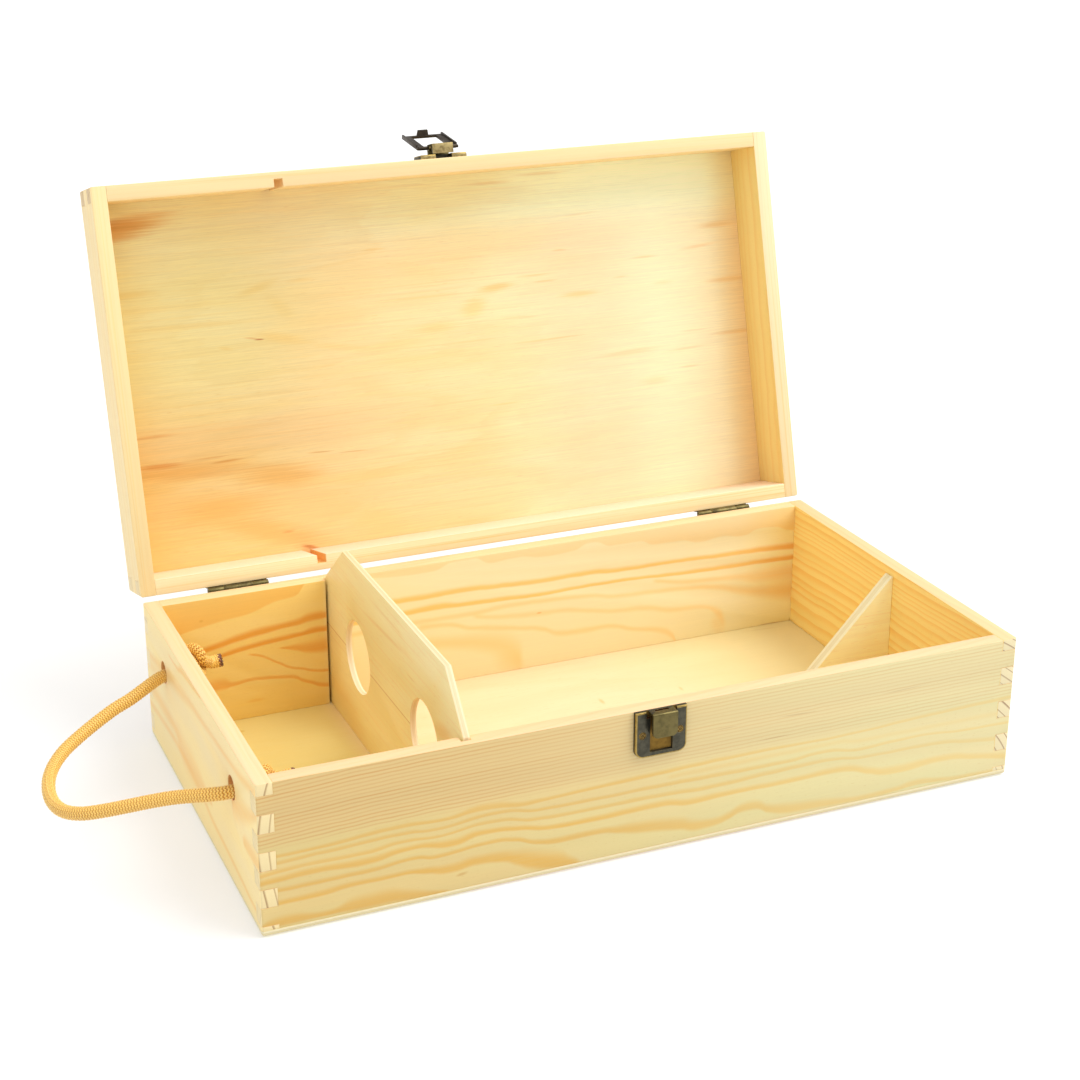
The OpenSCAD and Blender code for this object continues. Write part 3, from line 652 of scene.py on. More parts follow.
FRONT_LINES = (
    (0.75, ((-180, 36, 1.3), (-150, 36.6, 1.5), (-117, 38.1, 1.8), (-101, 37.4, 1.4), (-83, 38.9, 2.4), (-61, 36.9, 1.8), (-48, 37.2, 1.4),
            (0, 38.3, 1.9), (40, 38.8, 1.6), (90, 38.2, 1.1), (130, 39.5, 1.4), (180, 40.3, 1.6))),
    (0.7, ((-180, 32.8, 1.5), (-148, 33.9, 1.5), (-116, 34.7, 1.4), (-106, 33.5, 1.2), (-78, 35.3, 1.6), (-56, 32.5, 1.4), (0, 32, 1.7),
           (25, 31.5, 1.9), (60, 31, 1.6), (80, 32, 1.4), (100, 29.5, 1.4), (125, 30, 1.2), (155, 27.9, 1.2), (180, 27.5, 1.4))),
    (0.7, ((-180, 28.4, 1.8), (-161, 29.7, 1.5), (-136, 29.5, 1.7), (-117, 31, 1.4), (-104, 30, 1.2), (-82, 31.7, 1.4), (-61, 28.7, 1.5),
           (-48, 27.9, 1.6), (0, 27.4, 1.8), (25, 26.2, 2), (50, 27, 2), (80, 27.5, 1.7), (100, 25.2, 1.4), (140, 24.2, 1.6), (155, 22.2, 1.8),
           (180, 19, 2.2))),
    (0.9, ((-180, 25, 2.4), (-155, 26.1, 2.4), (-138, 25.1, 2.8), (-114, 27.2, 2), (-97, 25.3, 3), (-84, 27.3, 2.2), (-67, 25.6, 2),
           (-50, 23, 2), (-36, 22.5, 2.2), (0, 22.8, 2.6), (15, 21, 2.6), (35, 21.4, 2.2), (60, 21, 2.2), (84, 21.2, 2.6), (105, 17.2, 3.2),
           (121, 14.8, 3.4), (140, 15.6, 2.8), (160, 13.3, 2.6), (180, 9.5, 3.2))),
    (0.85, ((-180, 20.5, 1.8), (-136, 20.7, 1.8), (-113, 22, 1.6), (-104, 20.7, 1.6), (-80, 22.1, 1.6), (-70, 21, 1.8), (-58, 17.2, 2.1),
            (-46, 15.9, 2.6), (-33, 16, 2.4), (-20, 14.6, 3.4), (0, 12, 5), (10, 10.5, 5), (22, 8, 3.8), (33, 9.5, 3.2), (44, 12.2, 4),
            (52, 9.4, 3.8), (62, 7, 4.6), (74, 6, 4.2), (90, 4.8, 3), (105, 4.1, 2.2), (120, 4.8, 2.2), (130, 6, 2.6), (142, 4.8, 2),
            (158, 3.6, 1.8), (180, 3.3, 1.6))),
    (0.95, ((-180, 14.4, 2), (-154, 15, 2.4), (-136, 16, 2), (-121, 16, 1.8), (-108, 14.7, 2.8), (-98, 13.2, 3.6), (-86, 14.5, 3.6),
            (-76, 13.6, 4.2), (-68, 11, 5.8), (-60, 8.2, 7.5), (-52, 6, 7.5), (-44, 4, 5), (-37, 2, 2)), -190, -40),
    (0.9, ((-180, 5.4, 1.4), (-170, 5.8, 4), (-152, 5.2, 2), (-140, 6, 5), (-128, 6, 5.6), (-118, 5, 4.6), (-108, 3.8, 2.6), (-98, 2.6, 1.2)),
     -179, -100),
    (0.35, ((0, 35.4, 1), (87, 35.4, 1), (99, 33.8, 1), (130, 33.6, 1), (180, 33, 1.2)), 4, 190),
)


def front_extra(m, col, raw, uvw, nrm, fib):
    x, y, z = raw
    zz = waver(m, x, z, 0.45)
    # close fine lines run through the upper half
    t = m.div(m.add(zz, m.curve(x, ((-180, 3.2), (-150, 1.7), (-120, 0.6), (-60, 0.1), (180, 0)))), 1.72)
    ring = m.math("FLOOR", t)
    f = m.sub(t, ring)
    fine = m.mul(m.mul(m.step(f, 0.42, 0.66), m.step(f, 0.98, 0.8)), m.add(0.4, m.mul(m.white(m.add(ring, 5.0)), 0.6)))
    fine = m.mul(m.mul(fine, m.step(z, 39.0, 43.0)), m.add(0.6, m.mul(fib, 0.8)))
    upper = m.step(z, 38.0, 46.0)
    c = m.mix(m.mul(upper, m.step(x, -100.0, 150.0, 0.6, 0.15)), col, lin((235, 202, 150)))
    c = m.mix(m.mul(fine, m.step(x, -130.0, 0.0, 0.85, 0.36), clamp=True), c, lin((220, 162, 98)))
    c = veins(m, c, x, zz, fib, m.mix(m.step(x, -60.0, 140.0), lin((243, 191, 96)), lin((247, 208, 132))), FRONT_LINES)
    c = spots(m, c, x, z, [(-93.0, 9.8, 2.8, 0.8, 0.1, 0.6, (214, 160, 84)), (120.0, 55.2, 12.0, 0.35, 0.02, 0.4, (206, 160, 112)),
                           (66.0, 53.4, 9.0, 0.35, -0.05, 0.45, (204, 154, 106)), (55.0, 44.2, 8.0, 0.3, 0.0, 0.5, (200, 150, 104)),
                           (30.0, 53.6, 7.0, 0.3, 0.0, 0.4, (200, 150, 104))], fib, 0.3)
    # the outer face grows deeper in colour toward its left end and is multiplied darker all over: painted shade on this
    # face, partly the board's own colour
    c = m.mix(m.step(x, -180.0, 160.0, 0.3, 0.0), c, lin((228, 184, 118)))
    c = m.mix(1.0, c, m.mix(m.step(x, -160.0, 180.0), (0.80, 0.82, 0.75, 1.0), (0.80, 0.89, 0.98, 1.0)), "MULTIPLY")
    return m.mix(m.step(nrm[1], -0.5, -0.8), col, c)


LEFT_LINES = (
    (0.5, ((-98, 66.7, 2.4), (-73, 62.7, 1.8), (-45, 60.7, 1.4), (-16, 58.9, 1.7), (9, 57.4, 2.2), (26, 55.3, 3), (48, 53.6, 3.2),
           (60, 51.5, 2.4), (83, 47.4, 1.8), (98, 45, 1.6))),
    (0.55, ((-98, 56, 2.4), (-85, 50.2, 3.6), (-74, 46.5, 5.4), (-64, 44.5, 6), (-58, 44, 2)), -110, -60),
    (0.6, ((-98, 34, 5.5), (-90, 33.5, 6.6), (-80, 33.5, 6), (-74, 33, 2.4)), -110, -76),
    (0.55, ((-22, 23, 1.2), (-10, 23.5, 3.6), (5, 24, 6), (20, 24, 7), (36, 27, 6), (45, 29.5, 3), (70, 29.5, 3.6), (98, 28, 3.4)), -22, 110),
    (0.5, ((-98, 8.5, 1.2), (-45, 13, 1.5), (-22, 14.8, 1.7), (-8, 18, 2), (5, 20, 2.4), (40, 22, 2), (70, 20.5, 1.8), (98, 18, 1.8))),
    (0.6, ((-14, 69.6, 1.4), (9, 68.3, 3), (23, 67, 3.4), (31, 64.8, 1.8), (50, 64.5, 0.8)), -12, 46),
    (0.35, ((58, 51, 1.2), (75, 44, 2.6), (98, 40, 2.6)), 60, 110),
)


def left_extra(m, col, raw, uvw, nrm, fib):
    x, y, z = raw
    c = veins(m, col, y, waver(m, y, z, 0.5), fib, lin((244, 192, 110)), LEFT_LINES)
    c = spots(m, c, y, z, [(-20.0, 44.0, 30.0, 9.0, 0.1, 0.3, (238, 222, 184))], fib, 0.4)
    return m.mix(m.step(nrm[0], -0.5, -0.8), col, c)


def left_after(m, col, raw):
    # inside the rope holes, where the wood is cut across, the wall is tinted brown as painted shade
    x, y, z = raw
    for cy in (60.0, -60.0):
        d = m.math("SQRT", m.add(m.math("POWER", m.sub(y, cy), 2.0), m.math("POWER", m.sub(z, 50.0), 2.0)))
        col = m.mix(m.step(d, 5.7, 5.15), col, lin((216, 160, 92)))
    return col


def right_extra(m, col, raw, uvw, nrm, fib):
    # the outside of the right end is the paler face of the board
    return m.mix(m.mul(m.step(nrm[0], 0.5, 0.8), 0.75), col, lin((232, 205, 152)))


BACK_LINES = (
    (0.95, ((-175, 37, 2.4), (-152, 43.2, 2.8), (-144, 44.9, 3), (-136, 46.7, 3.2), (-126, 48.1, 3.4), (-115, 49.1, 2.8), (-105, 50.2, 3),
            (-97, 51.4, 3.8), (-90, 51.4, 3), (-60, 52.3, 2.8), (-37, 52.3, 2.8), (-21, 52.8, 2.8), (0, 51.6, 2.5), (28, 50.7, 2.5),
            (52, 50.7, 2.5), (68, 49.5, 2.3), (102, 49.2, 2), (127, 48.3, 2.3), (152, 47.8, 2.8), (172, 46.7, 3.4))),
    (1.0, ((-175, 31, 1.6), (-145, 38.8, 1.9), (-138, 40.2, 2.3), (-128, 41.4, 2.4), (-115, 42.6, 2.2), (-105, 43.3, 2.2), (-97, 44.2, 2.8),
           (-90, 44.1, 2.5), (-50, 45, 2.6), (-35, 45.7, 3.2), (-21, 44.8, 2.4), (0, 44.2, 2.3), (28, 43.3, 1.9), (52, 43.7, 1.7),
           (77, 43.3, 1.7), (102, 42, 2), (127, 41.2, 2.3), (152, 40.8, 2.4), (172, 40.3, 2.6))),
    (0.7, ((-131, 37, 0.9), (-126, 35.6, 1.2), (-117, 30.2, 1.3), (-110, 26.3, 1.3), (-104, 24.4, 1.3), (-99, 22.7, 1.3), (-89, 21.3, 1.5)),
     -130, -80),
    (0.75, ((-116, 38, 0.4), (-108, 36.6, 2.8), (-101, 35.2, 5), (-89, 34.6, 7)), -115, -80),
    (0.7, ((-160, 23, 6), (-145, 23, 5), (-140, 22.8, 2.2), (-132, 23.5, 1.7), (-123, 23.1, 1.7), (-115, 22, 1.7), (-109, 20.9, 1.9),
           (-105, 18.4, 1.7), (-100, 16.3, 1.9), (-96, 14.5, 2.1), (-89, 12.9, 2.1)), -190, -80),
    (0.5, ((-91, 38, 1.2), (-47, 39.3, 1.2), (-15, 39, 1.2), (5, 40, 1.2), (35, 39, 1.2), (52, 37.8, 1.2), (68, 35, 1.2), (102, 33.3, 1.2),
           (127, 30.3, 1.4), (138, 27, 2), (152, 23.7, 2.6), (165, 22, 4), (174, 21, 5)), -88, 190),
    (0.5, ((-43, 36.2, 1.6), (-27, 35, 1.2), (-15, 31.2, 1.2), (-2, 29, 1.4), (10, 26.7, 1.2), (25, 23.7, 1.2), (35, 19.5, 1.5),
           (48, 18.8, 1.5), (62, 18.7, 1.2), (77, 14.5, 1.2), (93, 11.2, 1.6), (100, 7, 1.8), (103, 2, 1.2)), -42, 103),
    (0.45, ((-15, 37.8, 1), (-2, 35, 1.2), (22, 32.8, 1.4), (35, 32.3, 1.2), (52, 29.5, 1.2), (65, 27, 1.2), (85, 25.3, 1.4), (98, 22, 1.4),
            (118, 20.3, 1.2), (127, 16, 2.4), (132, 9, 4)), -12, 130),
    (0.5, ((-50, 28, 3), (-30, 25.5, 3), (-7, 21.5, 4.5), (5, 17, 6), (12, 10, 8)), -46, 12),
    (0.5, ((88, 40.3, 1), (110, 36.3, 1.2), (135, 34.6, 1.5), (152, 32.8, 3), (174, 32, 4)), 90, 190),
)


def back_extra(m, col, raw, uvw, nrm, fib):
    x, y, z = raw
    zz = waver(m, x, z, 0.4, 11.0)
    # the wood is darker along the top of the inside, down to a draped edge
    edge = m.curve(x, ((-175, 51), (-165, 53.3), (-155, 55.2), (-144, 57), (-133, 58.1), (-128, 59.1), (-120, 62), (-115, 63.1), (-107.6, 63.8),
                       (-103, 67.5), (-97, 71), (-80, 70), (-60, 66), (-37, 65.3), (-23, 68.7), (-13, 68.7), (-3, 65), (10, 65.7), (28, 63.7),
                       (43, 64.5), (53, 67.3), (63, 64), (80, 63.7), (88, 60.7), (105, 60.3), (117, 57.8), (128, 59), (140, 57.3), (152, 60),
                       (160, 59.5), (168, 56.7), (176, 55)))
    over = m.sub(zz, edge)
    top = m.mul(m.step(over, -0.4, 0.9), m.step(over, 16.0, 1.0, 0.72, 1.0))
    # clear is the open middle of the wall; left of the divider and toward the right end it falls away, and the deeper
    # orange kept there is painted shade from the divider and the end walls, partly the board's own colour
    clear = m.mul(m.step(x, -94.0, -88.0), m.step(x, 176.0, 130.0, 0.35, 1.0))
    c = m.mix(m.mul(clear, 0.9), col, lin((246, 235, 196)))
    c = m.mix(m.mul(top, m.step(x, -88.0, -94.0, 0.5, 0.72)), c, m.mix(clear, lin((240, 184, 82)), lin((248, 210, 144))))
    c = veins(m, c, x, zz, fib, m.mix(clear, lin((230, 154, 50)), lin((249, 206, 124))), BACK_LINES)
    c = spots(m, c, x, z, [(-129.0, 12.0, 5.0, 1.2, 0.0, 0.4, (240, 184, 84)), (-154.0, 59.0, 1.2, 0.8, 0.0, 0.5, (206, 150, 60)),
                           (128.0, 9.0, 5.0, 7.0, -0.2, 0.3, (248, 204, 120)), (6.0, 8.0, 9.0, 6.0, -0.3, 0.3, (248, 204, 120)),
                           (23.0, 33.0, 1.6, 0.5, 0.0, 0.5, (226, 150, 60)), (160.0, 3.2, 8.0, 0.5, 0.0, 0.5, (170, 100, 40))], fib, 0.3)
    # painted shade: the left compartment is tinted deeper orange
    c = m.mix(m.mul(m.step(x, -80.0, -96.0), 0.3), c, lin((240, 184, 96)))
    return m.mix(m.step(nrm[1], -0.6, -0.9), col, c)


def notch_after(m, col, raw):
    # the surfaces inside the slots for the divider's corners are tinted brown
    x, y, z = raw
    near = m.mul(m.step(m.math("ABSOLUTE", m.add(x, 88.9)), 2.45, 2.25), m.step(z, 70.32, 70.5))
    near = m.mul(near, m.step(m.math("ABSOLUTE", y), 95.2, 94.6))
    return m.mix(m.mul(near, 0.85), col, m.mix(m.step(y, -10.0, 10.0), lin((238, 198, 138)), lin((236, 172, 86))))


def floor_extra(m, col, raw, uvw, nrm, fib):
    x, y, z = raw
    c = spots(m, col, x, y, [(35.5, 39.6, 1.3, 3.6, 0.0, 0.6, (238, 180, 112)), (78.8, 37.4, 1.0, 2.6, 0.0, 0.6, (238, 180, 112)),
                             (-140.0, 78.0, 1.6, 1.2, 0.0, 0.7, (206, 140, 70)), (120.0, -40.0, 3.0, 1.0, 0.0, 0.4, (236, 186, 124)),
                             (-30.0, -60.0, 50.0, 6.0, 0.05, 0.2, (240, 206, 146)), (153.0, 86.0, 9.0, 0.8, -0.1, 0.5, (196, 130, 60))], fib, 0.4)
    # painted shade: toward the right wall the floor is tinted a greener yellow where shade falls
    c = m.mix(m.mul(m.step(x, 40.0, 150.0), 0.7), c, lin((232, 221, 158)))
    # painted shade: in the left compartment the floor is tinted a deeper yellow
    return m.mix(m.mul(m.step(x, -80.0, -100.0), 0.6), c, lin((226, 212, 108)))


def lidply_extra(m, col, raw, uvw, nrm, fib):
    x, y, z = raw
    plain = m.mix(0.5, col, lin((238, 210, 158)))
    outside = m.step(nrm[2], 0.5, 0.8)
    # deeper colour toward the hinge side on the left, paler on the right
    warm = m.mul(m.step(m.add(m.mul(y, 1.0), m.mul(x, -0.55)), 20.0, 165.0), m.step(x, 40.0, -60.0))
    col = m.mix(m.mul(warm, 0.66), col, lin((250, 202, 114)))
    col = m.mix(m.step(x, -148.0, -176.0, 0.0, 0.3), col, lin((244, 200, 112)))
    olive = m.mul(m.step(x, -20.0, -120.0), m.step(y, 34.0, -10.0))
    col = m.mix(m.mul(olive, 0.55), col, lin((238, 226, 156)))
    middle = m.mul(m.step(x, -150.0, -40.0), m.step(x, 90.0, 10.0))
    col = m.mix(m.mul(middle, 0.5), col, lin((243, 208, 146)))
    col = m.mix(m.mul(m.step(x, -10.0, 110.0), 0.8), col, lin((254, 240, 198)))
    rosy = m.mul(m.mul(m.step(y, 18.0, 24.0), m.step(y, 42.0, 34.0)), m.step(x, 20.0, -40.0))
    col = m.mix(m.mul(rosy, m.add(0.1, m.mul(fib, 0.5))), col, lin((244, 198, 138)))
    col = spots(m, col, x, y, [
        (-163.0, -78.0, 26.0, 6.4, -0.16, 0.8, (226, 160, 76)), (-166.0, -80.0, 14.0, 3.4, 0.0, 0.35, (214, 142, 58)),
        (-129.0, 64.0, 30.0, 9.5, 0.0, 0.5, (244, 182, 90)), (-104.0, 80.0, 34.0, 7.0, 0.3, 0.6, (246, 184, 100)),
        (-96.0, 52.0, 25.0, 6.5, 0.06, 0.6, (242, 178, 88)), (-146.0, 43.0, 40.0, 5.5, 0.04, 0.62, (238, 172, 86)),
        (-158.0, 39.0, 13.0, 1.6, 0.0, 0.6, (226, 144, 64)), (-124.0, 40.6, 9.0, 0.8, -0.02, 0.6, (222, 150, 70)),
        (-132.0, 37.8, 11.0, 0.5, 0.0, 0.6, (222, 156, 84)), (-160.0, 24.0, 14.0, 1.0, 0.0, 0.5, (228, 158, 84)),
        (-76.0, 42.2, 7.0, 0.5, 0.05, 0.55, (220, 156, 86)), (-57.0, 44.2, 8.0, 0.4, 0.05, 0.5, (226, 166, 98)),
        (-97.0, 80.0, 4.5, 0.8, 0.0, 0.6, (232, 150, 76)), (-50.0, 57.0, 36.0, 4.0, 0.0, 0.35, (248, 204, 122)),
        (-48.0, 80.0, 20.0, 8.0, 0.2, 0.35, (248, 206, 128)), (-90.0, -17.5, 16.0, 3.2, 0.22, 0.5, (246, 206, 128)),
        (-60.0, -9.6, 18.0, 2.0, 0.18, 0.4, (246, 208, 136)), (-28.0, -7.5, 24.0, 2.6, -0.03, 0.4, (248, 208, 136)),
        (-6.0, -13.5, 14.0, 3.4, -0.05, 0.45, (248, 204, 130)), (-99.0, -43.0, 12.0, 2.6, -0.28, 0.5, (236, 200, 124)),
        (-88.0, -33.0, 7.0, 5.0, 0.7, 0.35, (238, 206, 132)), (-76.0, -45.0, 9.0, 1.2, 0.0, 0.4, (242, 202, 128)),
        (-58.0, -51.0, 18.0, 1.2, -0.12, 0.35, (244, 208, 138)), (-36.0, -56.6, 7.0, 0.8, 0.0, 0.5, (240, 196, 122)),
        (-60.0, -24.0, 30.0, 4.0, 0.0, 0.25, (246, 210, 140)), (-134.0, -28.0, 34.0, 1.6, 0.02, 0.35, (240, 200, 120)),
        (-164.0, -46.0, 16.0, 2.4, 0.0, 0.4, (234, 190, 104)), (-150.0, -38.0, 34.0, 2.0, 0.0, 0.25, (240, 200, 120)),
        (-118.0, -15.0, 4.0, 1.2, 0.2, 0.35, (240, 200, 118)), (-20.0, 1.0, 22.0, 1.6, 0.0, 0.4, (248, 206, 138)),
        (-14.0, -29.8, 24.0, 0.8, 0.0, 0.4, (246, 204, 134)), (-16.0, -45.0, 20.0, 3.6, 0.2, 0.3, (246, 210, 140)),
        (15.0, -21.5, 8.0, 5.5, -0.2, 0.5, (252, 202, 120)), (28.0, -30.8, 12.0, 2.6, -0.1, 0.65, (250, 194, 116)),
        (50.0, -35.0, 12.0, 0.8, 0.0, 0.5, (248, 204, 136)), (56.0, -31.4, 8.0, 0.6, 0.0, 0.5, (246, 200, 132)),
        (75.0, -22.6, 12.0, 2.0, 0.0, 0.55, (250, 210, 134)), (55.0, -0.8, 22.0, 0.7, -0.01, 0.5, (248, 204, 140)),
        (12.0, -4.5, 16.0, 0.6, 0.0, 0.4, (248, 204, 134)), (40.0, -14.0, 12.0, 1.0, 0.06, 0.35, (250, 208, 140)),
        (100.0, -29.4, 6.0, 0.6, 0.0, 0.5, (248, 204, 140)), (115.0, -38.6, 9.0, 0.9, 0.0, 0.5, (248, 204, 136)),
        (66.0, -46.8, 5.0, 0.7, 0.0, 0.5, (248, 202, 136)), (148.0, -41.4, 12.0, 1.0, -0.08, 0.45, (248, 202, 138)),
        (100.0, 11.4, 20.0, 1.8, -0.04, 0.4, (252, 210, 150)), (135.0, 12.8, 14.0, 0.8, -0.04, 0.4, (248, 206, 146)),
        (115.0, 28.0, 10.0, 2.8, 0.0, 0.4, (250, 214, 154)), (136.0, 22.6, 6.0, 0.6, 0.0, 0.45, (246, 200, 140)),
        (26.0, 30.0, 9.0, 0.6, 0.0, 0.45, (248, 204, 134)), (80.0, -64.5, 12.0, 0.7, -0.05, 0.3, (250, 210, 144)),
        (125.0, -24.0, 7.0, 1.2, 0.0, 0.35, (250, 212, 150)), (160.0, -52.0, 12.0, 2.2, 0.0, 0.5, (240, 188, 108)),
        (164.0, -22.0, 14.0, 2.0, 0.0, 0.45, (236, 180, 100)), (166.0, 7.0, 14.0, 1.4, 0.0, 0.4, (232, 172, 90)),
        (30.0, -84.8, 14.0, 1.0, 0.0, 0.4, (222, 166, 96)), (60.0, -87.4, 16.0, 1.0, 0.0, 0.35, (222, 166, 96)),
        (140.0, 3.6, 9.0, 0.8, 0.0, 0.3, (246, 200, 150))], fib, 0.9)
    # painted shade along the lid's right end wall
    col = m.mix(m.step(x, 152.0, 172.0, 0.0, 0.5), col, lin((236, 184, 100)))
    col = spots(m, col, x, y, [(-100.5, -17.7, 2.6, 0.45, 0.03, 0.85, (186, 104, 56)), (-104.0, -18.6, 5.0, 0.5, 0.2, 0.5, (228, 160, 96)),
                                (-86.0, 89.6, 5.0, 1.2, 0.3, 0.7, (200, 110, 40))], fib, 0.6)
    # slow changes of tone over the sheet
    left = m.mul(m.mul(m.step(x, -10.0, -110.0), m.step(y, -80.0, -44.0)), m.step(y, 84.0, 36.0))
    far = m.mul(m.step(y, -50.0, -74.0), m.step(x, -110.0, -10.0))
    right = m.mul(m.mul(m.step(x, 24.0, 74.0), m.step(x, 128.0, 86.0)), m.step(y, -72.0, -48.0))
    col = m.mix(m.mul(left, 0.95), col, (0.84, 0.83, 0.76, 1.0), "MULTIPLY")
    col = m.mix(far, col, (1.0, 1.19, 1.28, 1.0), "MULTIPLY")
    col = m.mix(m.mul(right, 0.95), col, (1.0, 0.87, 0.83, 1.0), "MULTIPLY")
    return m.mix(outside, col, plain)


def divider_extra(m, col, raw, uvw, nrm, fib):
    x, y, z = raw
    # the two sheets of its face veneer meet in a line
    seam = m.math("ABSOLUTE", m.sub(m.add(z, m.mul(y, 0.004)), 46.6))
    col = m.mix(m.step(z, 48.0, 45.0, 0.0, 0.22), col, lin((250, 216, 140)))
    col = m.mix(m.step(seam, 0.55, 0.1, 0.0, 0.5), col, lin((196, 142, 80)))
    return spots(m, col, y, z, [(5.0, 77.0, 34.0, 1.2, -0.05, 0.3, (226, 172, 100)), (0.0, 86.0, 24.0, 1.0, 0.0, 0.25, (226, 176, 104)),
                                (66.0, 14.0, 30.0, 10.0, 0.2, 0.25, (236, 182, 90)), (-70.0, 62.0, 14.0, 5.0, -0.2, 0.4, (230, 170, 90)),
                                (-30.0, 70.0, 6.0, 0.5, 0.0, 0.3, (210, 156, 92))], fib, 0.3)


M_FRONT = pine("pine_base_front", "x", (5.0, -68.0), 0.0043, tilt=(0.066, 0.0), warp=(1.3, 0.34), waves=(90.0, 21.0), seed=1.0, phase=0.3,
               strength=0.85, width=0.45, tone=(243, 222, 160), late=(230, 182, 98), fade=(30.0, 50.0, 0.7), end=(240, 220, 168), end_amount=0.25,
               extra=front_extra, drawn=(1, -1.0))
M_LEFT = pine("pine_base_left", "y", (36.0, -60.0), 0.0009, warp=(1.0, 0.6), waves=(80.0, 26.0), seed=2.0, strength=0.65,
              width=0.26, early=(251, 227, 160), tone=(248, 226, 168), late=(238, 186, 104), end=(232, 212, 160), end_line=(150, 108, 66), end_amount=0.85,
              extra=left_extra, after=left_after, drawn=(0, -1.0))
M_BACK = pine("pine_base_back", "x", (7.1, 109.4), 0.0015, tilt=(0.02, -0.083), warp=(3.0, 0.7), waves=(75.0, 28.0), seed=3.0, phase=0.75,
              strength=0.8, width=0.34, early=(248, 229, 156), tone=(247, 222, 138), late=(232, 164, 72), accent=((2, 0.6), (3, 0.2)), end=(244, 226, 182), end_amount=0.25, extra=back_extra,
              drawn=(1, -1.0))
M_RIGHT = pine("pine_base_right", "y", (-25.0, 116.0), 0.0019, tilt=(0.02, 0.0), warp=(1.6, 0.4), seed=4.0, strength=0.55, width=0.5,
               early=(254, 226, 142), late=(242, 180, 76), end=(232, 218, 176), end_line=(150, 112, 84), end_amount=0.9, extra=right_extra)
M_LFRONT = pine("pine_lid_front", "x", rim_col=(241, 213, 162), end=(216, 188, 142), end_line=(150, 110, 76), pith=(60.0, -60.0), k=0.004, warp=(1.0, 0.3), seed=5.0, strength=0.3, width=0.45, lid=True, early=(248, 224, 166), after=notch_after)
M_LBACK = pine("pine_lid_back", "x", (40.0, 70.0), 0.0045, warp=(1.0, 0.3), seed=6.0, strength=0.3, width=0.45, lid=True, rim_col=(247, 227, 172), rim_line=1.0, end=(240, 220, 172), end_line=(176, 136, 92), early=(248, 220, 190), late=(240, 200, 134), after=notch_after)
M_LLEFT = pine("pine_lid_left", "y", (60.0, -120.0), 0.0035, rim_col=(237, 213, 158), end=(214, 188, 142), end_line=(150, 110, 76), warp=(1.0, 0.3), seed=7.0, strength=0.3, width=0.45, lid=True, early=(248, 224, 168))
M_LRIGHT = pine("pine_lid_right", "y", (60.0, 120.0), 0.0035, warp=(1.0, 0.3), seed=8.0, strength=0.4, width=0.45, lid=True, early=(240, 214, 138))
M_BOTTOM = ply("ply_bottom", "xp", 0.0, seed=1.0, face=(238, 210, 168), tone=(239, 214, 174), strength=0.1, streak=0.12, edge=(230, 220, 184), core=(218, 206, 164), extra=floor_extra)
M_LIDPLY = ply("ply_lid", "xp", 97.3, seed=2.0, strength=0.22, lid=True, streak=0.38, fibre=0.2, rough=0.8, extra=lidply_extra)
M_DIVIDER = ply("ply_divider", "yd", -90.0, seed=3.0, strength=0.12, face=(245, 232, 173), tone=(247, 235, 182), edge=(240, 219, 178), core=(228, 204, 160), extra=divider_extra)
M_WEDGE = ply("ply_wedge", "xw", -6.3, thick=6.0, seed=4.0, strength=0.2, face=(254, 239, 176), tone=(255, 246, 190), edge=(238, 231, 194), core=(228, 218, 176))

BOARDS = [
    ("base_front_wall", M_FRONT, "base", 0.3), ("base_back_wall", M_BACK, "base", 0.3),
    ("base_left_end", M_LEFT, "base", 0.3), ("base_right_end", M_RIGHT, "base", 0.3),
    ("bottom_panel", M_BOTTOM, "base", 0.25), ("wedge_divider", M_WEDGE, "base", 0.25),
    ("neck_divider", M_DIVIDER, "divider", 0.2),
    ("lid_front_wall", M_LFRONT, "lid", 0.3), ("lid_back_wall", M_LBACK, "lid", 0.3),
    ("lid_left_end", M_LLEFT, "lid", 0.3), ("lid_right_end", M_LRIGHT, "lid", 0.3),
    ("lid_panel", M_LIDPLY, "lid", 0.25),
]
for node, mat, body, bev in BOARDS:
    ob = soft_copy(node, node + "_board", [mat], bev, body=body)


# ---------------------------------------------------------------- metal pieces

M_DARK = metal("brass_dark", (84, 81, 68), (50, 49, 42), 0.4)
M_WORN = metal("brass_worn", (168, 144, 82), (128, 104, 56), 0.3)
M_OLIVE = metal("brass_olive", (112, 101, 62), (74, 68, 42), 0.4)
M_GOLD = metal("brass_gold", (132, 102, 44), (92, 66, 28), 0.45)
M_RUST = metal("brass_rust", (96, 58, 38), (56, 34, 22), 0.6)
M_HINGE = metal("brass_hinge", (120, 108, 68), (66, 58, 36), 0.42, 0.8, 260.0)
M_BRIGHT = metal("brass_bright", (188, 168, 116), (116, 96, 58), 0.45, 0.7, 420.0)
M_DIM = metal("brass_dim", (82, 72, 60), (54, 44, 42), 0.45)
M_HEAD = metal("brass_head", (104, 80, 38), (62, 42, 20), 0.45)


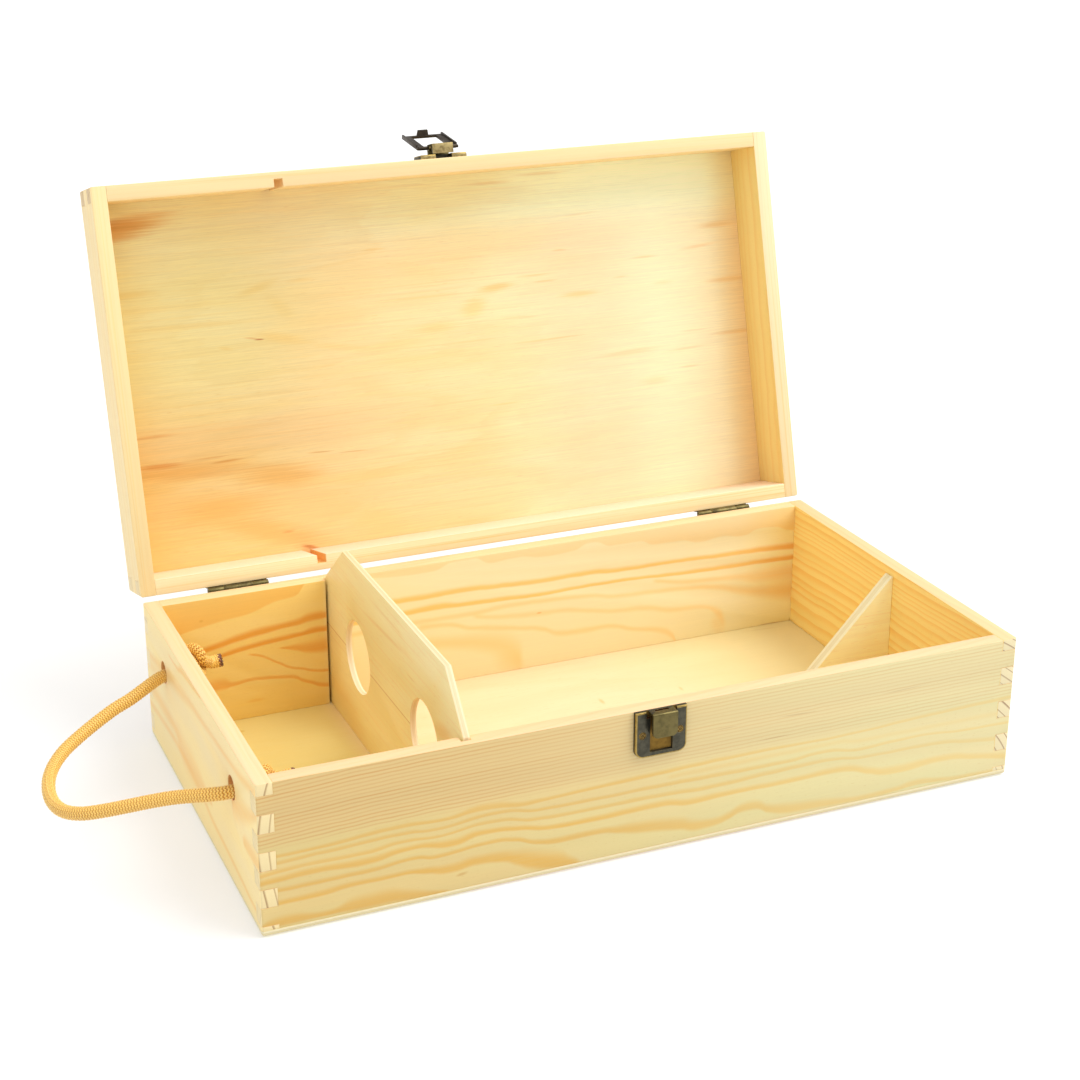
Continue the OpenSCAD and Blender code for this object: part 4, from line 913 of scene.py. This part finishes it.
def metal_copy(node, body, chamfers=(), paint=None, small=0.1, shut=None, angle=40, edge=1):
    """A copy of a metal CAD node: chosen edges get a rubbed chamfer, every other sharp edge a small one, and faces are painted by where they are."""
    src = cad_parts[node]
    me = src.data.copy()
    me.materials.clear()
    for a in list(me.attributes):
        if a.name == "custom_normal":
            me.attributes.remove(a)
    back = shut or (lambda p: p)
    bm = bmesh.new()
    bm.from_mesh(me)
    bmesh.ops.remove_doubles(bm, verts=bm.verts, dist=2e-6)
    bmesh.ops.dissolve_limit(bm, angle_limit=math.radians(0.6), verts=bm.verts, edges=bm.edges)
    for f in bm.faces:
        f.material_index = 0
    if paint:
        for f in bm.faces:
            f.material_index = paint(back(f.calc_center_median() / MM), f.normal)
    for test, width, segs, mat in chamfers:
        chosen = [e for e in bm.edges if len(e.link_faces) == 2 and e.calc_face_angle(0.0) > math.radians(30)
                  and test(back(e.verts[0].co / MM), back(e.verts[1].co / MM))]
        if chosen:
            bmesh.ops.bevel(bm, geom=chosen, offset=width * MM, offset_type="OFFSET", segments=segs, profile=0.6, affect="EDGES",
                            clamp_overlap=True, material=mat)
    bm.to_mesh(me)
    bm.free()
    for mat in (M_DARK, M_WORN, M_OLIVE, M_GOLD, M_RUST, M_HEAD, M_BRIGHT, M_DIM, M_HINGE):
        me.materials.append(mat)
    ob = link(bpy.data.objects.new(node + "_brass", me))
    mod = ob.modifiers.new("rubbed", "BEVEL")
    mod.width = small * MM
    mod.segments = 2
    mod.limit_method = "ANGLE"
    mod.angle_limit = math.radians(angle)
    mod.material = edge
    mod.use_clamp_overlap = True
    apply_mods(ob)
    finish_mesh(ob, 40)
    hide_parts(node)
    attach(ob, body)
    return ob


def shut_lid(p):
    a = math.radians(LID_OPEN)
    y, z = p[1] - AXIS_Y, p[2] - AXIS_Z
    return Vector((p[0], AXIS_Y + y * math.cos(a) - z * math.sin(a), AXIS_Z + y * math.sin(a) + z * math.cos(a)))


def near(a, b, tol=0.06):
    return abs(a - b) < tol


def catch_paint(c, n):
    hooked = -8.2 < c[0] < 4.2 and c[1] < -100.3
    if hooked:
        return 2
    if -7.5 < c[0] < 3.5 and c[2] > 50.4 and c[1] > -99.4:
        return 4 if c[2] > 66.5 else 3
    if -9.4 < c[0] < 5.4 and 66.7 < c[2] < 69.8 and c[1] > -100.19:
        return 4
    return 0


def plate_rim(p, q):
    if not (near(p[1], -100.2) and near(q[1], -100.2)):
        return False
    mid = (p + q) / 2
    along_top = near(p[2], q[2]) and near(p[2], 69.9)
    side = near(p[0], q[0]) and (near(p[0], -14.25) or near(p[0], 10.25))
    low = near(p[2], q[2]) and near(p[2], 48.2)
    round_corner = mid[2] < 52.3 and (mid[0] < -10.2 or mid[0] > 6.2)
    return along_top or side or low or round_corner


def hook_rim(p, q):
    if not (near(p[1], -104.0) and near(q[1], -104.0)):
        return False
    return not (near(p[2], q[2]) and p[2] > 67.0)


def hook_bend(p, q):
    return p[1] < -102.5 and q[1] < -102.5 and (p[2] > 68.5 and q[2] > 68.5) and (near(p[0], q[0]))


metal_copy("latch_catch", "base", [(plate_rim, 0.75, 2, 1), (hook_rim, 0.42, 2, 1)], catch_paint, small=0.12)


def lidplate_rim(p, q):
    if not (near(p[1], -100.2) and near(q[1], -100.2)):
        return False
    mid = (p + q) / 2
    side = near(p[0], q[0]) and (near(p[0], -14.25) or near(p[0], 10.25))
    low = near(p[2], q[2]) and (near(p[2], 71.9) or near(p[2], 85.3))
    return side or low or (mid[2] > 81.6 and (mid[0] < -10.6 or mid[0] > 6.6))


def lid_plate_paint(c, n):
    if n[1] < -0.6 and c[1] > -100.4 and c[2] < 72.2:
        return 6
    if n[1] < -0.6 and c[1] < -100.4 and c[2] < 77.2:
        return 6
    return 2 if c[1] < -100.4 else 0


metal_copy("latch_lid_plate", "lid", [(lidplate_rim, 0.6, 2, 1)], lid_plate_paint, small=0.15,
           shut=shut_lid, edge=2)
metal_copy("latch_hasp", "hasp", (), lambda c, n: 7, small=0.2, edge=0)
metal_copy("latch_catch_screws", "base", (), lambda c, n: 5 if c[1] < -100.0 and abs(n[1]) > 0.9 else 4, small=0.14)
metal_copy("latch_lid_screws", "lid", (), lambda c, n: 0, small=0.1)
for side in ("left", "right"):
    metal_copy("hinge_%s_base_leaf" % side, "base", (), lambda c, n: 2, small=0.15)
    metal_copy("hinge_%s_lid_leaf" % side, "lid", (), lambda c, n: 8, small=0.15)
    metal_copy("hinge_%s_pin" % side, "base", (), lambda c, n: 2, small=0.12)
metal_copy("hinge_base_screws", "base", (), lambda c, n: 2, small=0.1)
metal_copy("hinge_lid_screws", "lid", (), lambda c, n: 2, small=0.1)


# ---------------------------------------------------------------- studio

def studio():
    me = bpy.data.meshes.new("studio_floor")
    me.from_pydata([(-80, -80, 0), (80, -80, 0), (80, 80, 0), (-80, 80, 0)], [], [(0, 1, 2, 3)])
    ob = link(bpy.data.objects.new("studio_floor", me))
    ob.location.z = -0.0002
    m = Mat("studio_floor")
    tc = m.n("ShaderNodeTexCoord")
    n = m.noise(tc.outputs["Object"], 3.0, 2.0, 0.5)
    col = m.mix(n, lin((205, 205, 205)), lin((201, 201, 201)))
    node = m.n("ShaderNodeBsdfPrincipled")
    m.set(node.inputs["Base Color"], col)
    node.inputs["Roughness"].default_value = 0.7
    node.inputs["Specular IOR Level"].default_value = 0.1
    node.inputs["Emission Color"].default_value = (1, 1, 1, 1)
    node.inputs["Emission Strength"].default_value = 0.38
    m.t.links.new(node.outputs[0], m.out.inputs[0])
    me.materials.append(m.m)
    w = bpy.data.worlds.new("studio")
    scene.world = w
    w.use_nodes = True
    bg = w.node_tree.nodes["Background"]
    bg.inputs[0].default_value = (1.0, 1.0, 1.0, 1.0)
    bg.inputs[1].default_value = 0.6

    def sun(name, direction, strength, angle):
        d = bpy.data.lights.new(name, "SUN")
        d.energy = strength
        d.angle = math.radians(angle)
        o = link(bpy.data.objects.new(name, d))
        o.rotation_euler = (-Vector(direction)).to_track_quat("-Z", "Y").to_euler()
        o.location = Vector(direction) * 2
        return o

    sun("key", (0.85, -0.25, 1.1), 2.0, 50)
    sun("top", (0.1, -0.15, 1.0), 0.9, 80)
    sun("fill", (-0.9, -0.6, 0.7), 0.35, 70)


studio()
scene.view_settings.view_transform = "Standard"
scene.view_settings.look = "None"
scene.view_settings.exposure = 0.0
scene.view_settings.gamma = 1.0
scene.cycles.use_denoising = True
scene.cycles.max_bounces = 8
scene.cycles.diffuse_bounces = 5
